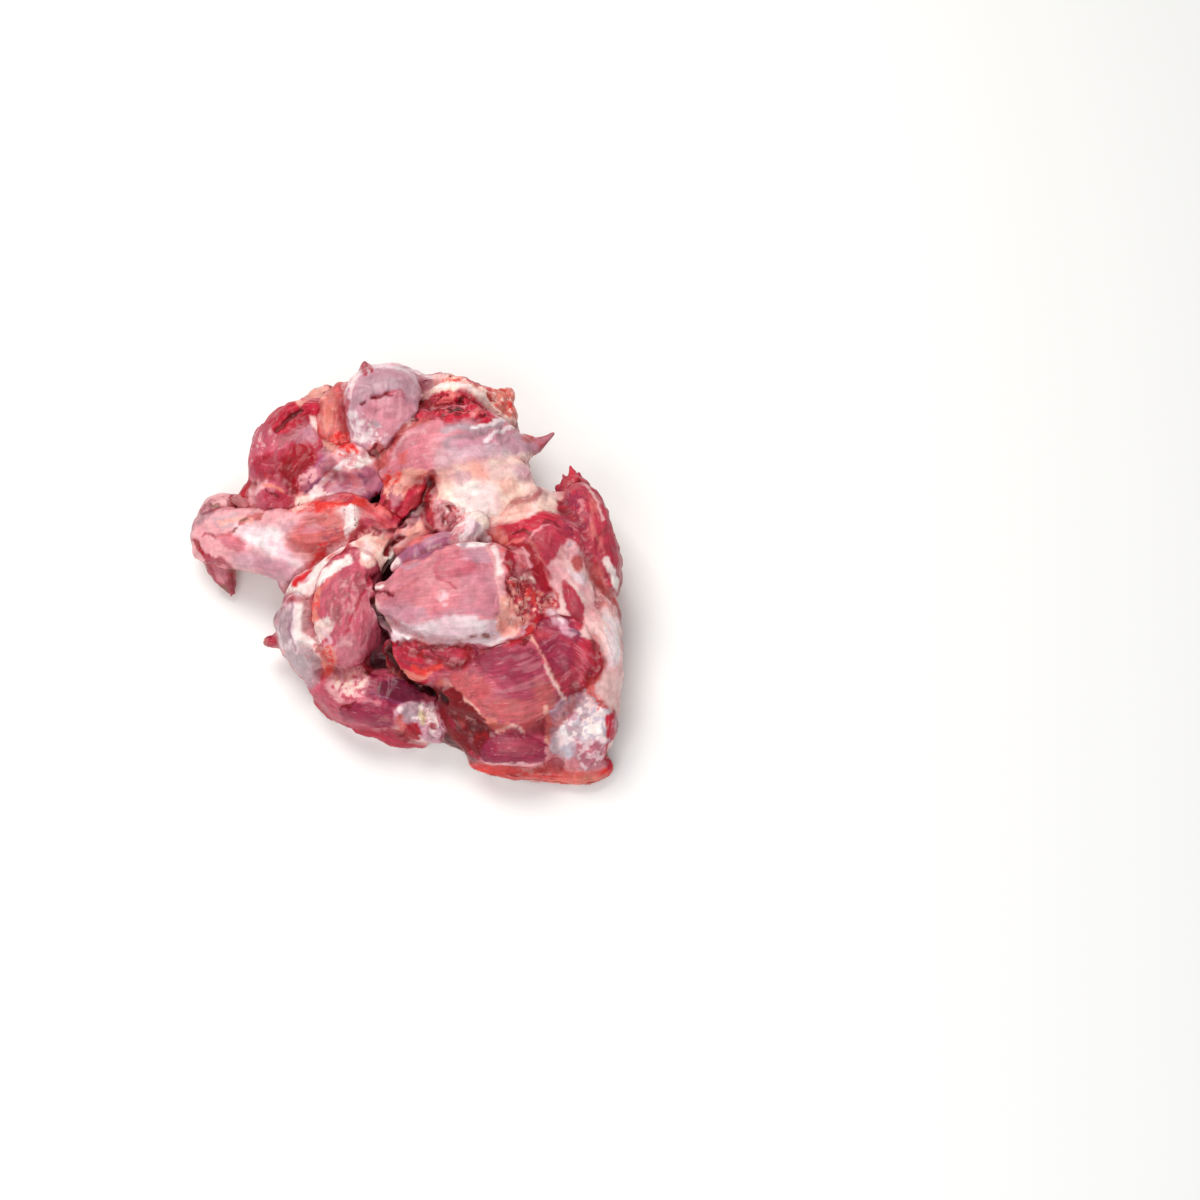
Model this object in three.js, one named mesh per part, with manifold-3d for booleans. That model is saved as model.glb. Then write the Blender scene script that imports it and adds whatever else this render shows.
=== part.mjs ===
// A boneless pork shoulder lying open on its fat side, cut side up: one lumpy piece of many muscles.
// Millimetres, +Z up. The origin is on the table, under the middle of the piece. X runs to the right
// and Y away from the viewer, who looks along +Y.
import * as THREE from "three";
import { mergeVertices } from "three/addons/utils/BufferGeometryUtils.js";
import Module from "manifold-3d";

const meatColour = "#b8505a";
const meatRoughness = 0.42;

const facetSize = 15.5; // length of a facet's side on a large lobe
const ringsPerFacet = 1.3; // a lobe has this many more rings along it than facets of that length
const fewest = { sides: 6, rings: 4 };
const most = { sides: 22, rings: 20 };
const unevenness = 1.1; // height of the slow swells on every lobe
const swell = { across: 15, along: 13, up: 12, bend: 1.3 }; // lengths that set how far apart they are
const tableCut = { size: 600, depth: 80 }; // block taken away below the table's surface

// Each lobe is a swollen band along a line of points. wide and thick are its half sizes at those
// points, full below 1 makes blunt ends, and square below 1 makes a boxier section.
const lobes = {
  // The fat side that it lies on, and the floor of the crevice between the muscles
  bedLeft: {
    spine: [[-86, 84, 22], [-68, 38, 25], [-54, -2, 25], [-54, -44, 23], [-40, -88, 16]],
    wide: [22, 29, 27, 29, 24], thick: [22, 29, 28, 27, 17], full: 0.7, square: 0.85,
  },
  bedBack: {
    spine: [[-90, 88, 24], [-34, 108, 32], [39, 106, 32], [92, 78, 22]],
    wide: [28, 36, 36, 26], thick: [24, 34, 34, 22], full: 0.7, square: 0.9,
  },
  bedRight: {
    spine: [[95, 85, 20], [107, 23, 27], [111, -52, 28], [109, -121, 16]],
    wide: [26, 38, 39, 32], thick: [20, 33, 33, 18], full: 0.65, square: 0.85,
  },
  bedMiddle: {
    spine: [[50, 92, 28], [55, 13, 33], [58, -52, 31], [62, -118, 17]],
    wide: [28, 37, 38, 30], thick: [26, 35, 32, 18], full: 0.65, square: 0.85,
  },
  creviceFloor: {
    spine: [[-16, 92, 15], [-10, 25, 13], [2, -45, 11], [18, -106, 7]],
    wide: [50, 66, 60, 38], thick: [21, 21, 20, 14], full: 0.5, square: 0.7,
  },
  // Lean that fills in under the muscles
  underRight: {
    spine: [[67, 7, 54], [99, -7, 56], [127, -27, 46]],
    wide: [16, 30, 20], thick: [20, 24, 20],
  },
  underCrumbs: {
    spine: [[25, 31, 56], [45, 15, 58], [67, 3, 58]],
    wide: [12, 20, 14], thick: [16, 20, 18],
  },
  underPurple: {
    spine: [[-91, 53, 38], [-57, 53, 44], [-27, 59, 42]],
    wide: [20, 26, 18], thick: [18, 20, 18],
  },
  underDome: {
    spine: [[-63, 87, 42], [-45, 109, 46], [-29, 129, 40]],
    wide: [20, 24, 18], thick: [22, 24, 18],
  },
  underArc: {
    spine: [[-3, 128, 46], [31, 126, 50], [67, 111, 42]],
    wide: [16, 20, 16], thick: [20, 22, 18],
  },
  // The far end: a domed muscle under silverskin, the flap beside it and the cut pocket
  dome: {
    spine: [[-19, 77, 64], [-17, 109, 72], [-16, 143, 62]],
    wide: [24, 29, 26], thick: [22, 27, 20], full: 0.6, square: 0.85,
  },
  domeCollar: {
    spine: [[-43, 130, 62], [-19, 145, 60], [13, 137, 64]],
    wide: [7, 8, 8], thick: [9, 9, 9],
  },
  upperFlap: {
    spine: [[-18, 69, 58], [15, 75, 78], [57, 76, 82], [98, 83, 60]],
    wide: [20, 26, 26, 14], thick: [16, 18, 15, 9], full: 0.55, square: 0.85,
  },
  creamFat: {
    spine: [[15, 47, 60], [57, 49, 68], [89, 51, 54], [104, 44, 42]],
    wide: [18, 28, 24, 14], thick: [14, 20, 18, 12], full: 0.6, square: 0.85,
  },
  pocket: {
    spine: [[5, 114, 58], [34, 117, 66], [64, 111, 56]],
    wide: [14, 18, 14], thick: [14, 17, 14],
  },
  fatArc: {
    spine: [[9, 137, 68], [31, 131, 77], [52, 122, 75], [73, 105, 60]],
    wide: [5, 6, 6, 6], thick: [6, 8, 8, 6],
  },
  backCrumbs: {
    spine: [[21, 127, 56], [49, 127, 58], [77, 115, 50]],
    wide: [13, 17, 15], thick: [16, 18, 18], full: 0.6, square: 0.85,
  },
  spike: { spine: [[73, 89, 62], [91, 87, 60], [106, 96, 63]], wide: [12, 7, 1.5], thick: [7, 5, 1.5] },
  // The far left: trimmed muscle, its rim, and the fat and purple folds along it
  leftTop: {
    spine: [[-96, 55, 34], [-88, 89, 44], [-59, 122, 50]],
    wide: [20, 25, 20], thick: [22, 28, 24], full: 0.6, square: 0.85,
  },
  cutPatch: {
    spine: [[-87, 53, 50], [-76, 71, 58], [-61, 89, 62]],
    wide: [14, 18, 14], thick: [12, 14, 12], full: 0.7,
  },
  roll: { spine: [[-97, 95, 62], [-82, 107, 71], [-63, 112, 72]], wide: [6, 8, 6], thick: [7, 8, 6] },
  rim: { spine: [[-101, 55, 42], [-105, 77, 50], [-99, 98, 57]], wide: [9, 10, 9], thick: [12, 14, 11] },
  orangeStrip: {
    spine: [[-42, 136, 58], [-48, 108, 70], [-49, 77, 67]],
    wide: [10, 11, 11], thick: [12, 13, 10], full: 0.6, square: 0.8,
  },
  junction: { spine: [[-56, 75, 66], [-38, 67, 72], [-20, 64, 66]], wide: [7, 10, 9], thick: [6, 8, 7] },
  purpleA: { spine: [[-69, 53, 58], [-53, 74, 66]], wide: [9, 9], thick: [10, 10], full: 0.6 },
  purpleB: {
    spine: [[-63, 46, 56], [-40, 53, 64], [-17, 61, 60]],
    wide: [10, 14, 11], thick: [10, 12, 10], full: 0.7, square: 0.85,
  },
  fatUnder: { spine: [[-82, 40, 50], [-63, 44, 56], [-43, 45, 56]], wide: [6, 7, 6], thick: [7, 7, 6] },
  crimson: { spine: [[-114, 43, 34], [-110, 65, 42]], wide: [8, 9], thick: [12, 12], full: 0.6 },
  knob: {
    spine: [[-108, 49, 44], [-93, 53, 48], [-76, 46, 44]],
    wide: [10, 12, 10], thick: [11, 12, 11], full: 0.6,
  },
  farLeft: {
    spine: [[-149, 39, 20], [-138, 51, 28], [-121, 55, 34]],
    wide: [6, 10, 10], thick: [7, 10, 10],
  },
  // The flap that reaches out to the left, and what lies on it
  flap: {
    spine: [[-155, 31, 18], [-133, 29, 30], [-103, 20, 40], [-69, 9, 48], [-42, 15, 54]],
    wide: [13, 18, 22, 24, 18], thick: [8, 12, 14, 15, 14], full: 0.6, square: 0.8,
  },
  flapCorner: {
    spine: [[-85, 11, 34], [-79, -7, 34], [-65, -15, 36]],
    wide: [9, 11, 9], thick: [12, 12, 10],
  },
  flapRed: {
    spine: [[-89, 23, 52], [-64, 20, 60], [-39, 26, 62], [-18, 23, 57]],
    wide: [14, 18, 17, 13], thick: [10, 12, 12, 10], full: 0.7, square: 0.85,
  },
  flapTip: {
    spine: [[-145, 27, 18], [-135, 12, 12], [-126, -6, 5]],
    wide: [10, 10, 5], thick: [8, 9, 5], full: 0.7,
  },
  oval: { spine: [[-37, 37, 70], [-38, 24, 73], [-36, 13, 68]], wide: [5, 6, 5], thick: [4, 4, 4] },
  bandWhite: {
    spine: [[-29, 5, 64], [-48, -14, 62], [-69, -28, 54], [-80, -49, 42]],
    wide: [7, 9, 10, 9], thick: [8, 9, 9, 9], full: 0.7,
  },
  block: {
    spine: [[-33, 6, 62], [-11, -8, 60]],
    wide: [13, 12], thick: [10, 10], full: 0.5, square: 0.7,
  },
  // The near left: a long muscle with fat outside it, and the base under both
  leftLow: {
    spine: [[-23, 3, 58], [-37, -31, 62], [-36, -60, 58], [-37, -87, 40]],
    wide: [15, 23, 24, 16], thick: [16, 22, 23, 17], full: 0.7, square: 0.85,
  },
  leftLowRim: {
    spine: [[-17, -35, 56], [-15, -58, 56], [-25, -80, 42]],
    wide: [8, 10, 9], thick: [14, 16, 12],
  },
  leftLowFoot: {
    spine: [[-59, -81, 36], [-40, -76, 42], [-23, -68, 44]],
    wide: [10, 11, 9], thick: [9, 10, 8], full: 0.7,
  },
  outerFat: {
    spine: [[-59, -11, 46], [-71, -35, 38], [-74, -57, 30], [-59, -85, 18]],
    wide: [10, 13, 13, 11], thick: [16, 24, 23, 15], full: 0.7,
  },
  greyFat: {
    spine: [[-76, -27, 32], [-82, -47, 24], [-75, -67, 14]],
    wide: [7, 8, 8], thick: [14, 15, 11],
  },
  redBit: { spine: [[-100, -50, 20], [-87, -53, 24]], wide: [4, 5], thick: [4, 5], full: 0.6 },
  lumps: { spine: [[-68, -53, 48], [-59, -64, 48], [-56, -73, 42]], wide: [7, 7, 6], thick: [6, 6, 6] },
  base: {
    spine: [[-69, -77, 14], [-34, -95, 22], [-2, -102, 24], [31, -111, 16]],
    wide: [13, 20, 19, 14], thick: [14, 20, 20, 13], full: 0.7,
  },
  baseStrip: {
    spine: [[-63, -87, 8], [-17, -108, 8], [19, -121, 6]],
    wide: [12, 13, 10], thick: [10, 10, 7], full: 0.7,
  },
  whiteLump: {
    spine: [[-4, -108, 24], [13, -114, 24], [31, -119, 14]],
    wide: [10, 13, 10], thick: [9, 11, 9], full: 0.7,
  },
  // The middle: a smooth pillow of muscle with its pale lip, and what lies round the crevice
  pillow: {
    spine: [[-21, -45, 72], [7, -43, 80], [38, -43, 84], [67, -38, 79], [85, -41, 68]],
    wide: [15, 28, 34, 34, 22], thick: [8, 13, 16, 14, 10], full: 0.5, square: 0.8,
  },
  lip: {
    spine: [[-18, -49, 69], [3, -66, 68], [31, -76, 68], [59, -76, 66], [89, -59, 62]],
    wide: [5, 6, 7, 7, 6], thick: [4, 5, 5, 5, 5],
  },
  fatStrip: {
    spine: [[63, -7, 80], [71, -27, 83], [77, -50, 79], [81, -67, 68]],
    wide: [6, 7, 8, 8], thick: [6, 7, 7, 7], full: 0.7,
  },
  purpleVein: { spine: [[-7, -19, 73], [16, -10, 82], [41, 3, 81]], wide: [7, 11, 8], thick: [6, 9, 7] },
  cartilage: {
    spine: [[37, -7, 79], [46, 5, 84], [58, 17, 80]],
    wide: [8, 9, 8], thick: [7, 7, 6], full: 0.7,
  },
  crumbs: { spine: [[21, 15, 72], [37, 29, 74]], wide: [11, 11], thick: [8, 8], full: 0.5 },
  centreRed: {
    spine: [[-13, 31, 52], [0, 43, 62], [21, 61, 66]],
    wide: [11, 14, 10], thick: [12, 14, 10], full: 0.7,
  },
  centreCrimson: {
    spine: [[-2, 27, 50], [14, 42, 56], [25, 59, 60]],
    wide: [6, 8, 6], thick: [12, 14, 12],
  },
  ridge: {
    spine: [[25, 57, 64], [26, 35, 68], [21, 15, 66]],
    wide: [6, 7, 7], thick: [9, 10, 10], full: 0.7,
  },
  // The right: dark lean between fat, up to the tall edge
  rightTop: {
    spine: [[57, 10, 68], [86, 19, 69], [114, 35, 58]],
    wide: [8, 10, 9], thick: [8, 10, 10], full: 0.7,
  },
  rightLong: {
    spine: [[74, 3, 72], [91, -18, 75], [105, -40, 69]],
    wide: [10, 13, 9], thick: [9, 11, 9], full: 0.8, square: 0.85,
  },
  rightPlum: {
    spine: [[87, 11, 69], [102, 3, 71], [116, 13, 64]],
    wide: [10, 13, 10], thick: [9, 11, 10], full: 0.7,
  },
  rightInner: {
    spine: [[75, -9, 69], [85, -36, 71], [95, -60, 62]],
    wide: [10, 13, 10], thick: [9, 10, 9], full: 0.7,
  },
  rightTall: {
    spine: [[116, 77, 34], [126, 41, 48], [136, 5, 50], [142, -27, 44]],
    wide: [8, 17, 17, 14], thick: [12, 22, 22, 20], full: 0.7, square: 0.85,
  },
  rightSpike: { spine: [[118, 86, 40], [122, 65, 48]], wide: [3, 6], thick: [3, 7] },
  rightLow: {
    spine: [[109, -19, 64], [119, -39, 61], [128, -58, 51]],
    wide: [7, 10, 8], thick: [8, 10, 9], full: 0.8,
  },
  rightRim: {
    spine: [[135, -12, 46], [140, -29, 42], [143, -50, 36]],
    wide: [7, 8, 8], thick: [9, 10, 9],
  },
  fatRight: {
    spine: [[105, -37, 58], [131, -63, 48], [138, -94, 33], [139, -123, 20]],
    wide: [13, 21, 17, 11], thick: [11, 19, 20, 14], full: 0.7,
  },
  wallRight: {
    spine: [[129, 9, 42], [135, -31, 34], [141, -68, 28], [139, -107, 18]],
    wide: [9, 13, 13, 11], thick: [18, 27, 25, 18], full: 0.7,
  },
  // The near right: the big cut face, its plate and corner of fat, and the lobe below it
  cutKnob: {
    spine: [[-10, -71, 47], [10, -78, 51], [34, -82, 51], [61, -78, 50]],
    wide: [13, 18, 16, 13], thick: [11, 16, 15, 12], full: 0.5, square: 0.85,
  },
  knobLip: {
    spine: [[-8, -77, 42], [10, -91, 42], [37, -96, 45]],
    wide: [7, 9, 9], thick: [8, 9, 9], full: 0.7,
  },
  bigFace: {
    spine: [[27, -99, 42], [61, -97, 47], [91, -91, 49], [119, -71, 48]],
    wide: [18, 30, 32, 26], thick: [18, 24, 25, 22], full: 0.6, square: 0.85,
  },
  plate: {
    spine: [[85, -61, 52], [113, -73, 50], [142, -93, 36]],
    wide: [17, 25, 16], thick: [14, 21, 18], full: 0.6, square: 0.85,
  },
  fatCorner: {
    spine: [[128, -89, 38], [127, -117, 28], [127, -146, 12]],
    wide: [15, 22, 18], thick: [12, 18, 12], full: 0.6, square: 0.85,
  },
  bottomLobe: {
    spine: [[43, -131, 20], [73, -131, 25], [109, -133, 22]],
    wide: [13, 17, 15], thick: [14, 19, 17], full: 0.5, square: 0.85,
  },
  darkSide: {
    spine: [[29, -98, 30], [44, -119, 23], [59, -135, 12]],
    wide: [11, 14, 11], thick: [18, 19, 12], full: 0.7,
  },
  bottomEdge: {
    spine: [[47, -136, 7], [83, -142, 7], [125, -146, 7], [147, -138, 8]],
    wide: [9, 9, 9, 9], thick: [7, 7, 7, 8], full: 0.6,
  },
  // Small shreds at the far edge
  shred: { spine: [[-35, 140, 60], [-32, 153, 67]], wide: [4, 2], thick: [4, 2] },
  topBits: { spine: [[-73, 129, 48], [-57, 136, 54]], wide: [7, 6], thick: [7, 6], full: 0.6 },
};

const clamp = THREE.MathUtils.clamp;
const upward = new THREE.Vector3(0, 0, 1);

// Slow swells that make every lobe a little uneven, from -1 to 1.
function swells(p) {
  const wander = swell.bend * Math.sin(p.y / swell.along);
  return Math.sin(p.x / swell.across + wander) * Math.cos(p.z / swell.up + p.y / swell.across);
}

// Pushes a circle's coordinate towards a square's corners.
function squared(value, power) {
  return Math.sign(value) * Math.pow(Math.abs(value), power);
}

function smoothLine(points) {
  return new THREE.CatmullRomCurve3(points, false, "catmullrom", 0.5);
}

// The geometry with its places alone, so that its seams and edges are merged.
function bareMesh(geometry) {
  geometry.deleteAttribute("normal");
  geometry.deleteAttribute("uv");
  return mergeVertices(geometry, 1e-4);
}

// A sphere whose poles are the ends of the spine, pulled out to the lobe's width and thickness.
function lobeGeometry({ spine, wide, thick, full = 1, square = 1 }) {
  const line = smoothLine(spine.map((p) => new THREE.Vector3(...p)));
  const girth = smoothLine(wide.map((w, i) => new THREE.Vector3(w, thick[i], 0)));
  const round = 2 * Math.PI * Math.max(...wide, ...thick);
  const sides = clamp(Math.round(round / facetSize), fewest.sides, most.sides);
  const rings = clamp(Math.round((line.getLength() * ringsPerFacet) / facetSize), fewest.rings, most.rings);
  const lobe = bareMesh(new THREE.SphereGeometry(1, sides, rings));
  const place = lobe.attributes.position;
  const v = new THREE.Vector3();
  for (let i = 0; i < place.count; i++) {
    v.fromBufferAttribute(place, i);
    const share = (1 - clamp(v.y, -1, 1)) / 2; // 0 at the start of the spine, 1 at its end
    const p = line.getPoint(share);
    const out = Math.hypot(v.x, v.z);
    if (out > 1e-6) {
      const reach = Math.pow(out, full);
      const size = girth.getPoint(share);
      const along = line.getTangent(share);
      const side = new THREE.Vector3().crossVectors(along, upward).normalize();
      const top = new THREE.Vector3().crossVectors(side, along).normalize();
      const outward = side.multiplyScalar(size.x * squared(v.z / out, square));
      outward.addScaledVector(top, size.y * squared(v.x / out, square));
      p.addScaledVector(outward, reach);
      p.addScaledVector(outward.normalize(), unevenness * swells(p) * reach);
    }
    place.setXYZ(i, p.x, p.y, p.z);
  }
  return lobe;
}

const wasm = await Module();
wasm.setup();

function manifoldOf(bare) {
  const vertProperties = bare.attributes.position.array;
  const triVerts = new Uint32Array(bare.index.array);
  return new wasm.Manifold(new wasm.Mesh({ numProp: 3, vertProperties, triVerts }));
}

function geometryOf(solid) {
  const mesh = solid.getMesh();
  const places = new Float32Array(mesh.numVert * 3);
  for (let i = 0; i < mesh.numVert; i++) {
    places.set(mesh.vertProperties.subarray(i * mesh.numProp, i * mesh.numProp + 3), i * 3);
  }
  return new THREE.BufferGeometry()
    .setAttribute("position", new THREE.BufferAttribute(places, 3))
    .setIndex(new THREE.BufferAttribute(mesh.triVerts, 1));
}

// All lobes grown together, with the hollows that this seals filled, and cut flat where it lies.
function wholePiece() {
  const joined = Object.values(lobes)
    .map((lobe) => manifoldOf(lobeGeometry(lobe)))
    .reduce((sum, next) => sum.add(next));
  const block = new THREE.BoxGeometry(tableCut.size, tableCut.size, tableCut.depth);
  block.translate(0, 0, -tableCut.depth / 2);
  const cut = joined.subtract(manifoldOf(bareMesh(block)));
  const outside = cut.decompose().sort((a, b) => b.volume() - a.volume())[0];
  return geometryOf(outside);
}

const meat = new THREE.MeshStandardMaterial({ color: meatColour, roughness: meatRoughness, metalness: 0 });
const shoulder = new THREE.Mesh(wholePiece(), meat);
shoulder.name = "pork_shoulder";

const part = new THREE.Group();
part.add(shoulder);

export default part;
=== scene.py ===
# A raw boneless pork shoulder, opened out and lying on its fat side with the cut side up.
# Blender metres, +Z up; sizes in this file are millimetres unless a name says otherwise.
import itertools
import math
import bpy
import numpy as np
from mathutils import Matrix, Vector
from mathutils.kdtree import KDTree


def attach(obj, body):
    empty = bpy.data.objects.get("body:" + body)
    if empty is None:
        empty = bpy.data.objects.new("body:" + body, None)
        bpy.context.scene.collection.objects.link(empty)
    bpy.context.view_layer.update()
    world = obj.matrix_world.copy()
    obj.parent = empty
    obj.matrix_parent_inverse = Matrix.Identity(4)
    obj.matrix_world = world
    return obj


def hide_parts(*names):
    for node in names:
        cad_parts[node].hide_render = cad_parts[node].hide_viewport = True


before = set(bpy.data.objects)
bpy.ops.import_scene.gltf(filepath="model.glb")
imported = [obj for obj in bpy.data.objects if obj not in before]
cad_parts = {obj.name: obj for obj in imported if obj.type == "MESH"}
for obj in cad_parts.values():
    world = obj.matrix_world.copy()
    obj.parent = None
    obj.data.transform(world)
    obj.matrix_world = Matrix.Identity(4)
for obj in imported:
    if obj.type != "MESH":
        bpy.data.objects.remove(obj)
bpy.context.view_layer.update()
mm = 0.001

# Camera: looks along +Y and down on the board, as the photograph does
cameraFacts = {
    "elevation": 64,  # degrees above the board
    "distance": 2200,
    "target": (139, -27, 40),
    "mmPerPixel": 0.71,  # at the target
    "photoWidth": 1200,  # pixels
    "sensor": 36,
    "clipEnd": 20,  # metres
}
tilt = math.radians(cameraFacts["elevation"])
toCamera = np.array([0, -math.cos(tilt), math.sin(tilt)])
upInPhoto = np.array([0, math.sin(tilt), math.cos(tilt)])


def addCamera(facts):
    back = Vector(toCamera)
    bpy.ops.object.camera_add(location=(Vector(facts["target"]) + back * facts["distance"]) * mm)
    camera = bpy.context.object
    camera.name = "photoCamera"
    camera.rotation_mode = "QUATERNION"
    camera.rotation_quaternion = (-back).to_track_quat("-Z", "Y")
    seenWidth = facts["photoWidth"] * facts["mmPerPixel"]
    camera.data.sensor_width = facts["sensor"]
    camera.data.lens = facts["sensor"] / (seenWidth / facts["distance"])
    camera.data.clip_end = facts["clipEnd"]
    bpy.context.scene.camera = camera


addCamera(cameraFacts)


def pixelsOf(points):
    # Where points in mm fall in the photograph, in pixels, and how far from the camera they are
    rel = points - np.array(cameraFacts["target"], float)
    depth = cameraFacts["distance"] - rel @ toCamera
    scale = cameraFacts["distance"] / depth / cameraFacts["mmPerPixel"]
    middle = cameraFacts["photoWidth"] / 2
    return np.stack([middle + rel[:, 0] * scale, middle - (rel @ upInPhoto) * scale], 1), depth


# What the meat is made of: its colour, then how much of it is fibre, film and fat
tissues = {
    "darkLean": ("#97304a", 1.0, 0.1, 0.0),
    "redLean": ("#b4384a", 1.0, 0.0, 0.0),
    "brightLean": ("#c22c40", 0.9, 0.1, 0.0),
    "crimson": ("#a3162f", 0.8, 0.1, 0.0),
    "roseLean": ("#bf5668", 1.0, 0.2, 0.0),
    "salmonLean": ("#c5605f", 1.0, 0.2, 0.0),
    "pinkLean": ("#dc878e", 0.7, 0.5, 0.0),
    "duskyLean": ("#a9525c", 0.9, 0.2, 0.0),
    "palePink": ("#e3a4a8", 0.3, 0.8, 0.2),
    "rosePink": ("#cf7d88", 0.5, 0.6, 0.0),
    "duskyRose": ("#b9707c", 0.5, 0.6, 0.0),
    "lilacFilm": ("#c792a0", 0.2, 1.0, 0.0),
    "greyFilm": ("#b9959f", 0.2, 1.0, 0.0),
    "ashFilm": ("#a27d86", 0.2, 1.0, 0.0),
    "paleFilm": ("#e4c6cc", 0.1, 1.0, 0.2),
    "whiteFilm": ("#f1dadc", 0.0, 1.0, 0.4),
    "whiteFat": ("#f8e2de", 0.0, 0.3, 1.0),
    "pinkFat": ("#eec2be", 0.0, 0.4, 1.0),
    "creamFat": ("#f6cfc2", 0.0, 0.3, 1.0),
    "peachFat": ("#f2ab9d", 0.0, 0.3, 0.9),
    "yellowFat": ("#ecd7a2", 0.0, 0.3, 1.0),
    "greyFat": ("#bda3a8", 0.0, 0.6, 0.8),
    "blueFat": ("#cfbfca", 0.0, 0.6, 0.8),
    "orangeFlesh": ("#dd7c6f", 0.3, 0.4, 0.3),
    "coralFlesh": ("#dd6a68", 0.5, 0.4, 0.2),
    "blood": ("#dd423c", 0.3, 0.6, 0.0),
    "brightBlood": ("#d5242c", 0.2, 0.8, 0.0),
    "purple": ("#a8627d", 0.2, 1.0, 0.0),
    "deepPurple": ("#7a3f5c", 0.3, 0.9, 0.0),
    # painted shade: a dark plum put at the foot of the crevice
    "plumShade": ("#5a1230", 0.2, 0.5, 0.0),
    "deepRed": ("#7d1024", 0.4, 0.2, 0.0),
    # painted shade: these two dark colours are put in crevices, holes, gaps and on the side that lies in shade
    "shadedMeat": ("#5c1622", 0.4, 0.1, 0.1),
    "gapShade": ("#43080f", 0.1, 0.0, 1.0),
    "brown": ("#94605a", 0.5, 0.3, 0.0),
}


def linear(hexColour):
    parts = [int(hexColour[i : i + 2], 16) / 255 for i in (1, 3, 5)]
    return [c / 12.92 if c < 0.04045 else ((c + 0.055) / 1.055) ** 2.4 for c in parts]


tissueColour = {name: np.array(linear(facts[0])) for name, facts in tissues.items()}
tissueKind = {name: np.array(facts[1:]) for name, facts in tissues.items()}


def smoothLine(points, share):
    # Catmull-Rom through the points, as the model's own spines run; share goes from 0 to 1
    points = np.asarray(points, float)
    last = len(points) - 1
    place = np.clip(share, 0, 1) * last
    i = np.minimum(np.floor(place).astype(int), last - 1)
    w = (place - i)[:, None]
    here, there = points[i], points[i + 1]
    before = np.where((i > 0)[:, None], points[np.maximum(i - 1, 0)], 2 * points[0] - points[1])
    after = np.where((i < last - 1)[:, None], points[np.minimum(i + 2, last)], 2 * points[-1] - points[-2])
    leave, arrive = (there - before) / 2, (after - here) / 2
    bend = (2 * here - 2 * there + leave + arrive) * w**3
    return bend + (-3 * here + 3 * there - 2 * leave - arrive) * w**2 + leave * w + here


def unit(v):
    return v / np.maximum(np.linalg.norm(v, axis=1), 1e-9)[:, None]


def spineFrame(spine, share):
    # Where the spine is, and the three directions there: along it, to its side and to its top
    step = 1e-3
    along = unit(smoothLine(spine, np.minimum(share + step, 1)) - smoothLine(spine, np.maximum(share - step, 0)))
    side = unit(np.cross(along, [0.0, 0.0, 1.0]))
    return smoothLine(spine, share), along, side, np.cross(side, along)


def swells(p):
    wander = 1.3 * np.sin(p[:, 1] / 13)
    return np.sin(p[:, 0] / 15 + wander) * np.cos(p[:, 2] / 12 + p[:, 1] / 15)


lobeFacts = {
    "facet": 3.2,  # length of a face on a lobe before the remesh
    "fewestSides": 10,
    "fewestRings": 8,
    "mostFaces": 72,
    "unevenness": 1.1,
    "flatness": 0.84,  # below 1, the tops are flatter and the ends blunter than the model's solids
    "bluntest": 0.5,
}
growFacts = {"smoothing": 0.5, "rounds": 4, "quickVoxel": 2}
samples = {"place": [], "share": [], "lobe": [], "piece": []}  # every lobe's points, to find what lies where
lobes = []  # each lobe's own facts, in the order they were made


def getPlaces(mesh):
    flat = np.empty(len(mesh.vertices) * 3)
    mesh.vertices.foreach_get("co", flat)
    return flat.reshape(-1, 3) / mm


def setPlaces(mesh, points):
    mesh.vertices.foreach_set("co", (points * mm).ravel())
    mesh.update()


def addLobe(name, facts, pieceNumber):
    # A sphere pulled out along its spine to its widths and thicknesses, its poles at the spine's ends
    girths = np.array([facts["wide"], facts["thick"]], float).T
    length = np.linalg.norm(np.diff(np.array(facts["spine"], float), axis=0), axis=1).sum()
    facet = lobeFacts["facet"]
    sides = int(np.clip(2 * math.pi * girths.max() / facet, lobeFacts["fewestSides"], lobeFacts["mostFaces"]))
    rings = int(np.clip((length + girths.max() * 2) / facet, lobeFacts["fewestRings"], lobeFacts["mostFaces"]))
    bpy.ops.mesh.primitive_uv_sphere_add(segments=sides, ring_count=rings, radius=1)
    body = bpy.context.object
    body.name = name
    v = getPlaces(body.data) * mm
    share = (1 - np.clip(v[:, 2], -1, 1)) / 2
    out = np.hypot(v[:, 0], v[:, 1])
    s, c = v[:, 0] / np.maximum(out, 1e-9), v[:, 1] / np.maximum(out, 1e-9)
    square = facts.get("square", 1) * lobeFacts["flatness"]
    c, s = np.sign(c) * np.abs(c) ** square, np.sign(s) * np.abs(s) ** square
    middle, along, side, top = spineFrame(facts["spine"], share)
    girth = smoothLine(girths, share)
    lean = math.radians(facts.get("lean", 0))
    side, top = side * math.cos(lean) - top * math.sin(lean), top * math.cos(lean) + side * math.sin(lean)
    outward = side * (girth[:, 0] * s)[:, None] + top * (girth[:, 1] * c)[:, None]
    reach = out ** (max(facts.get("full", 1) * lobeFacts["flatness"], lobeFacts["bluntest"]))
    p = middle + outward * reach[:, None]
    p += unit(outward) * (lobeFacts["unevenness"] * swells(p) * reach)[:, None]
    setPlaces(body.data, p)
    samples["place"].append(p)
    samples["share"].append(share)
    samples["lobe"].append(np.full(len(p), len(lobes)))
    samples["piece"].append(np.full(len(p), pieceNumber))
    lobes.append({"length": length, **facts})
    return body


def applyModifier(piece, kind, **settings):
    modifier = piece.modifiers.new(kind.title(), kind)
    for name, value in settings.items():
        setattr(modifier, name, value)
    bpy.ops.object.modifier_apply(modifier=modifier.name)


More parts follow.
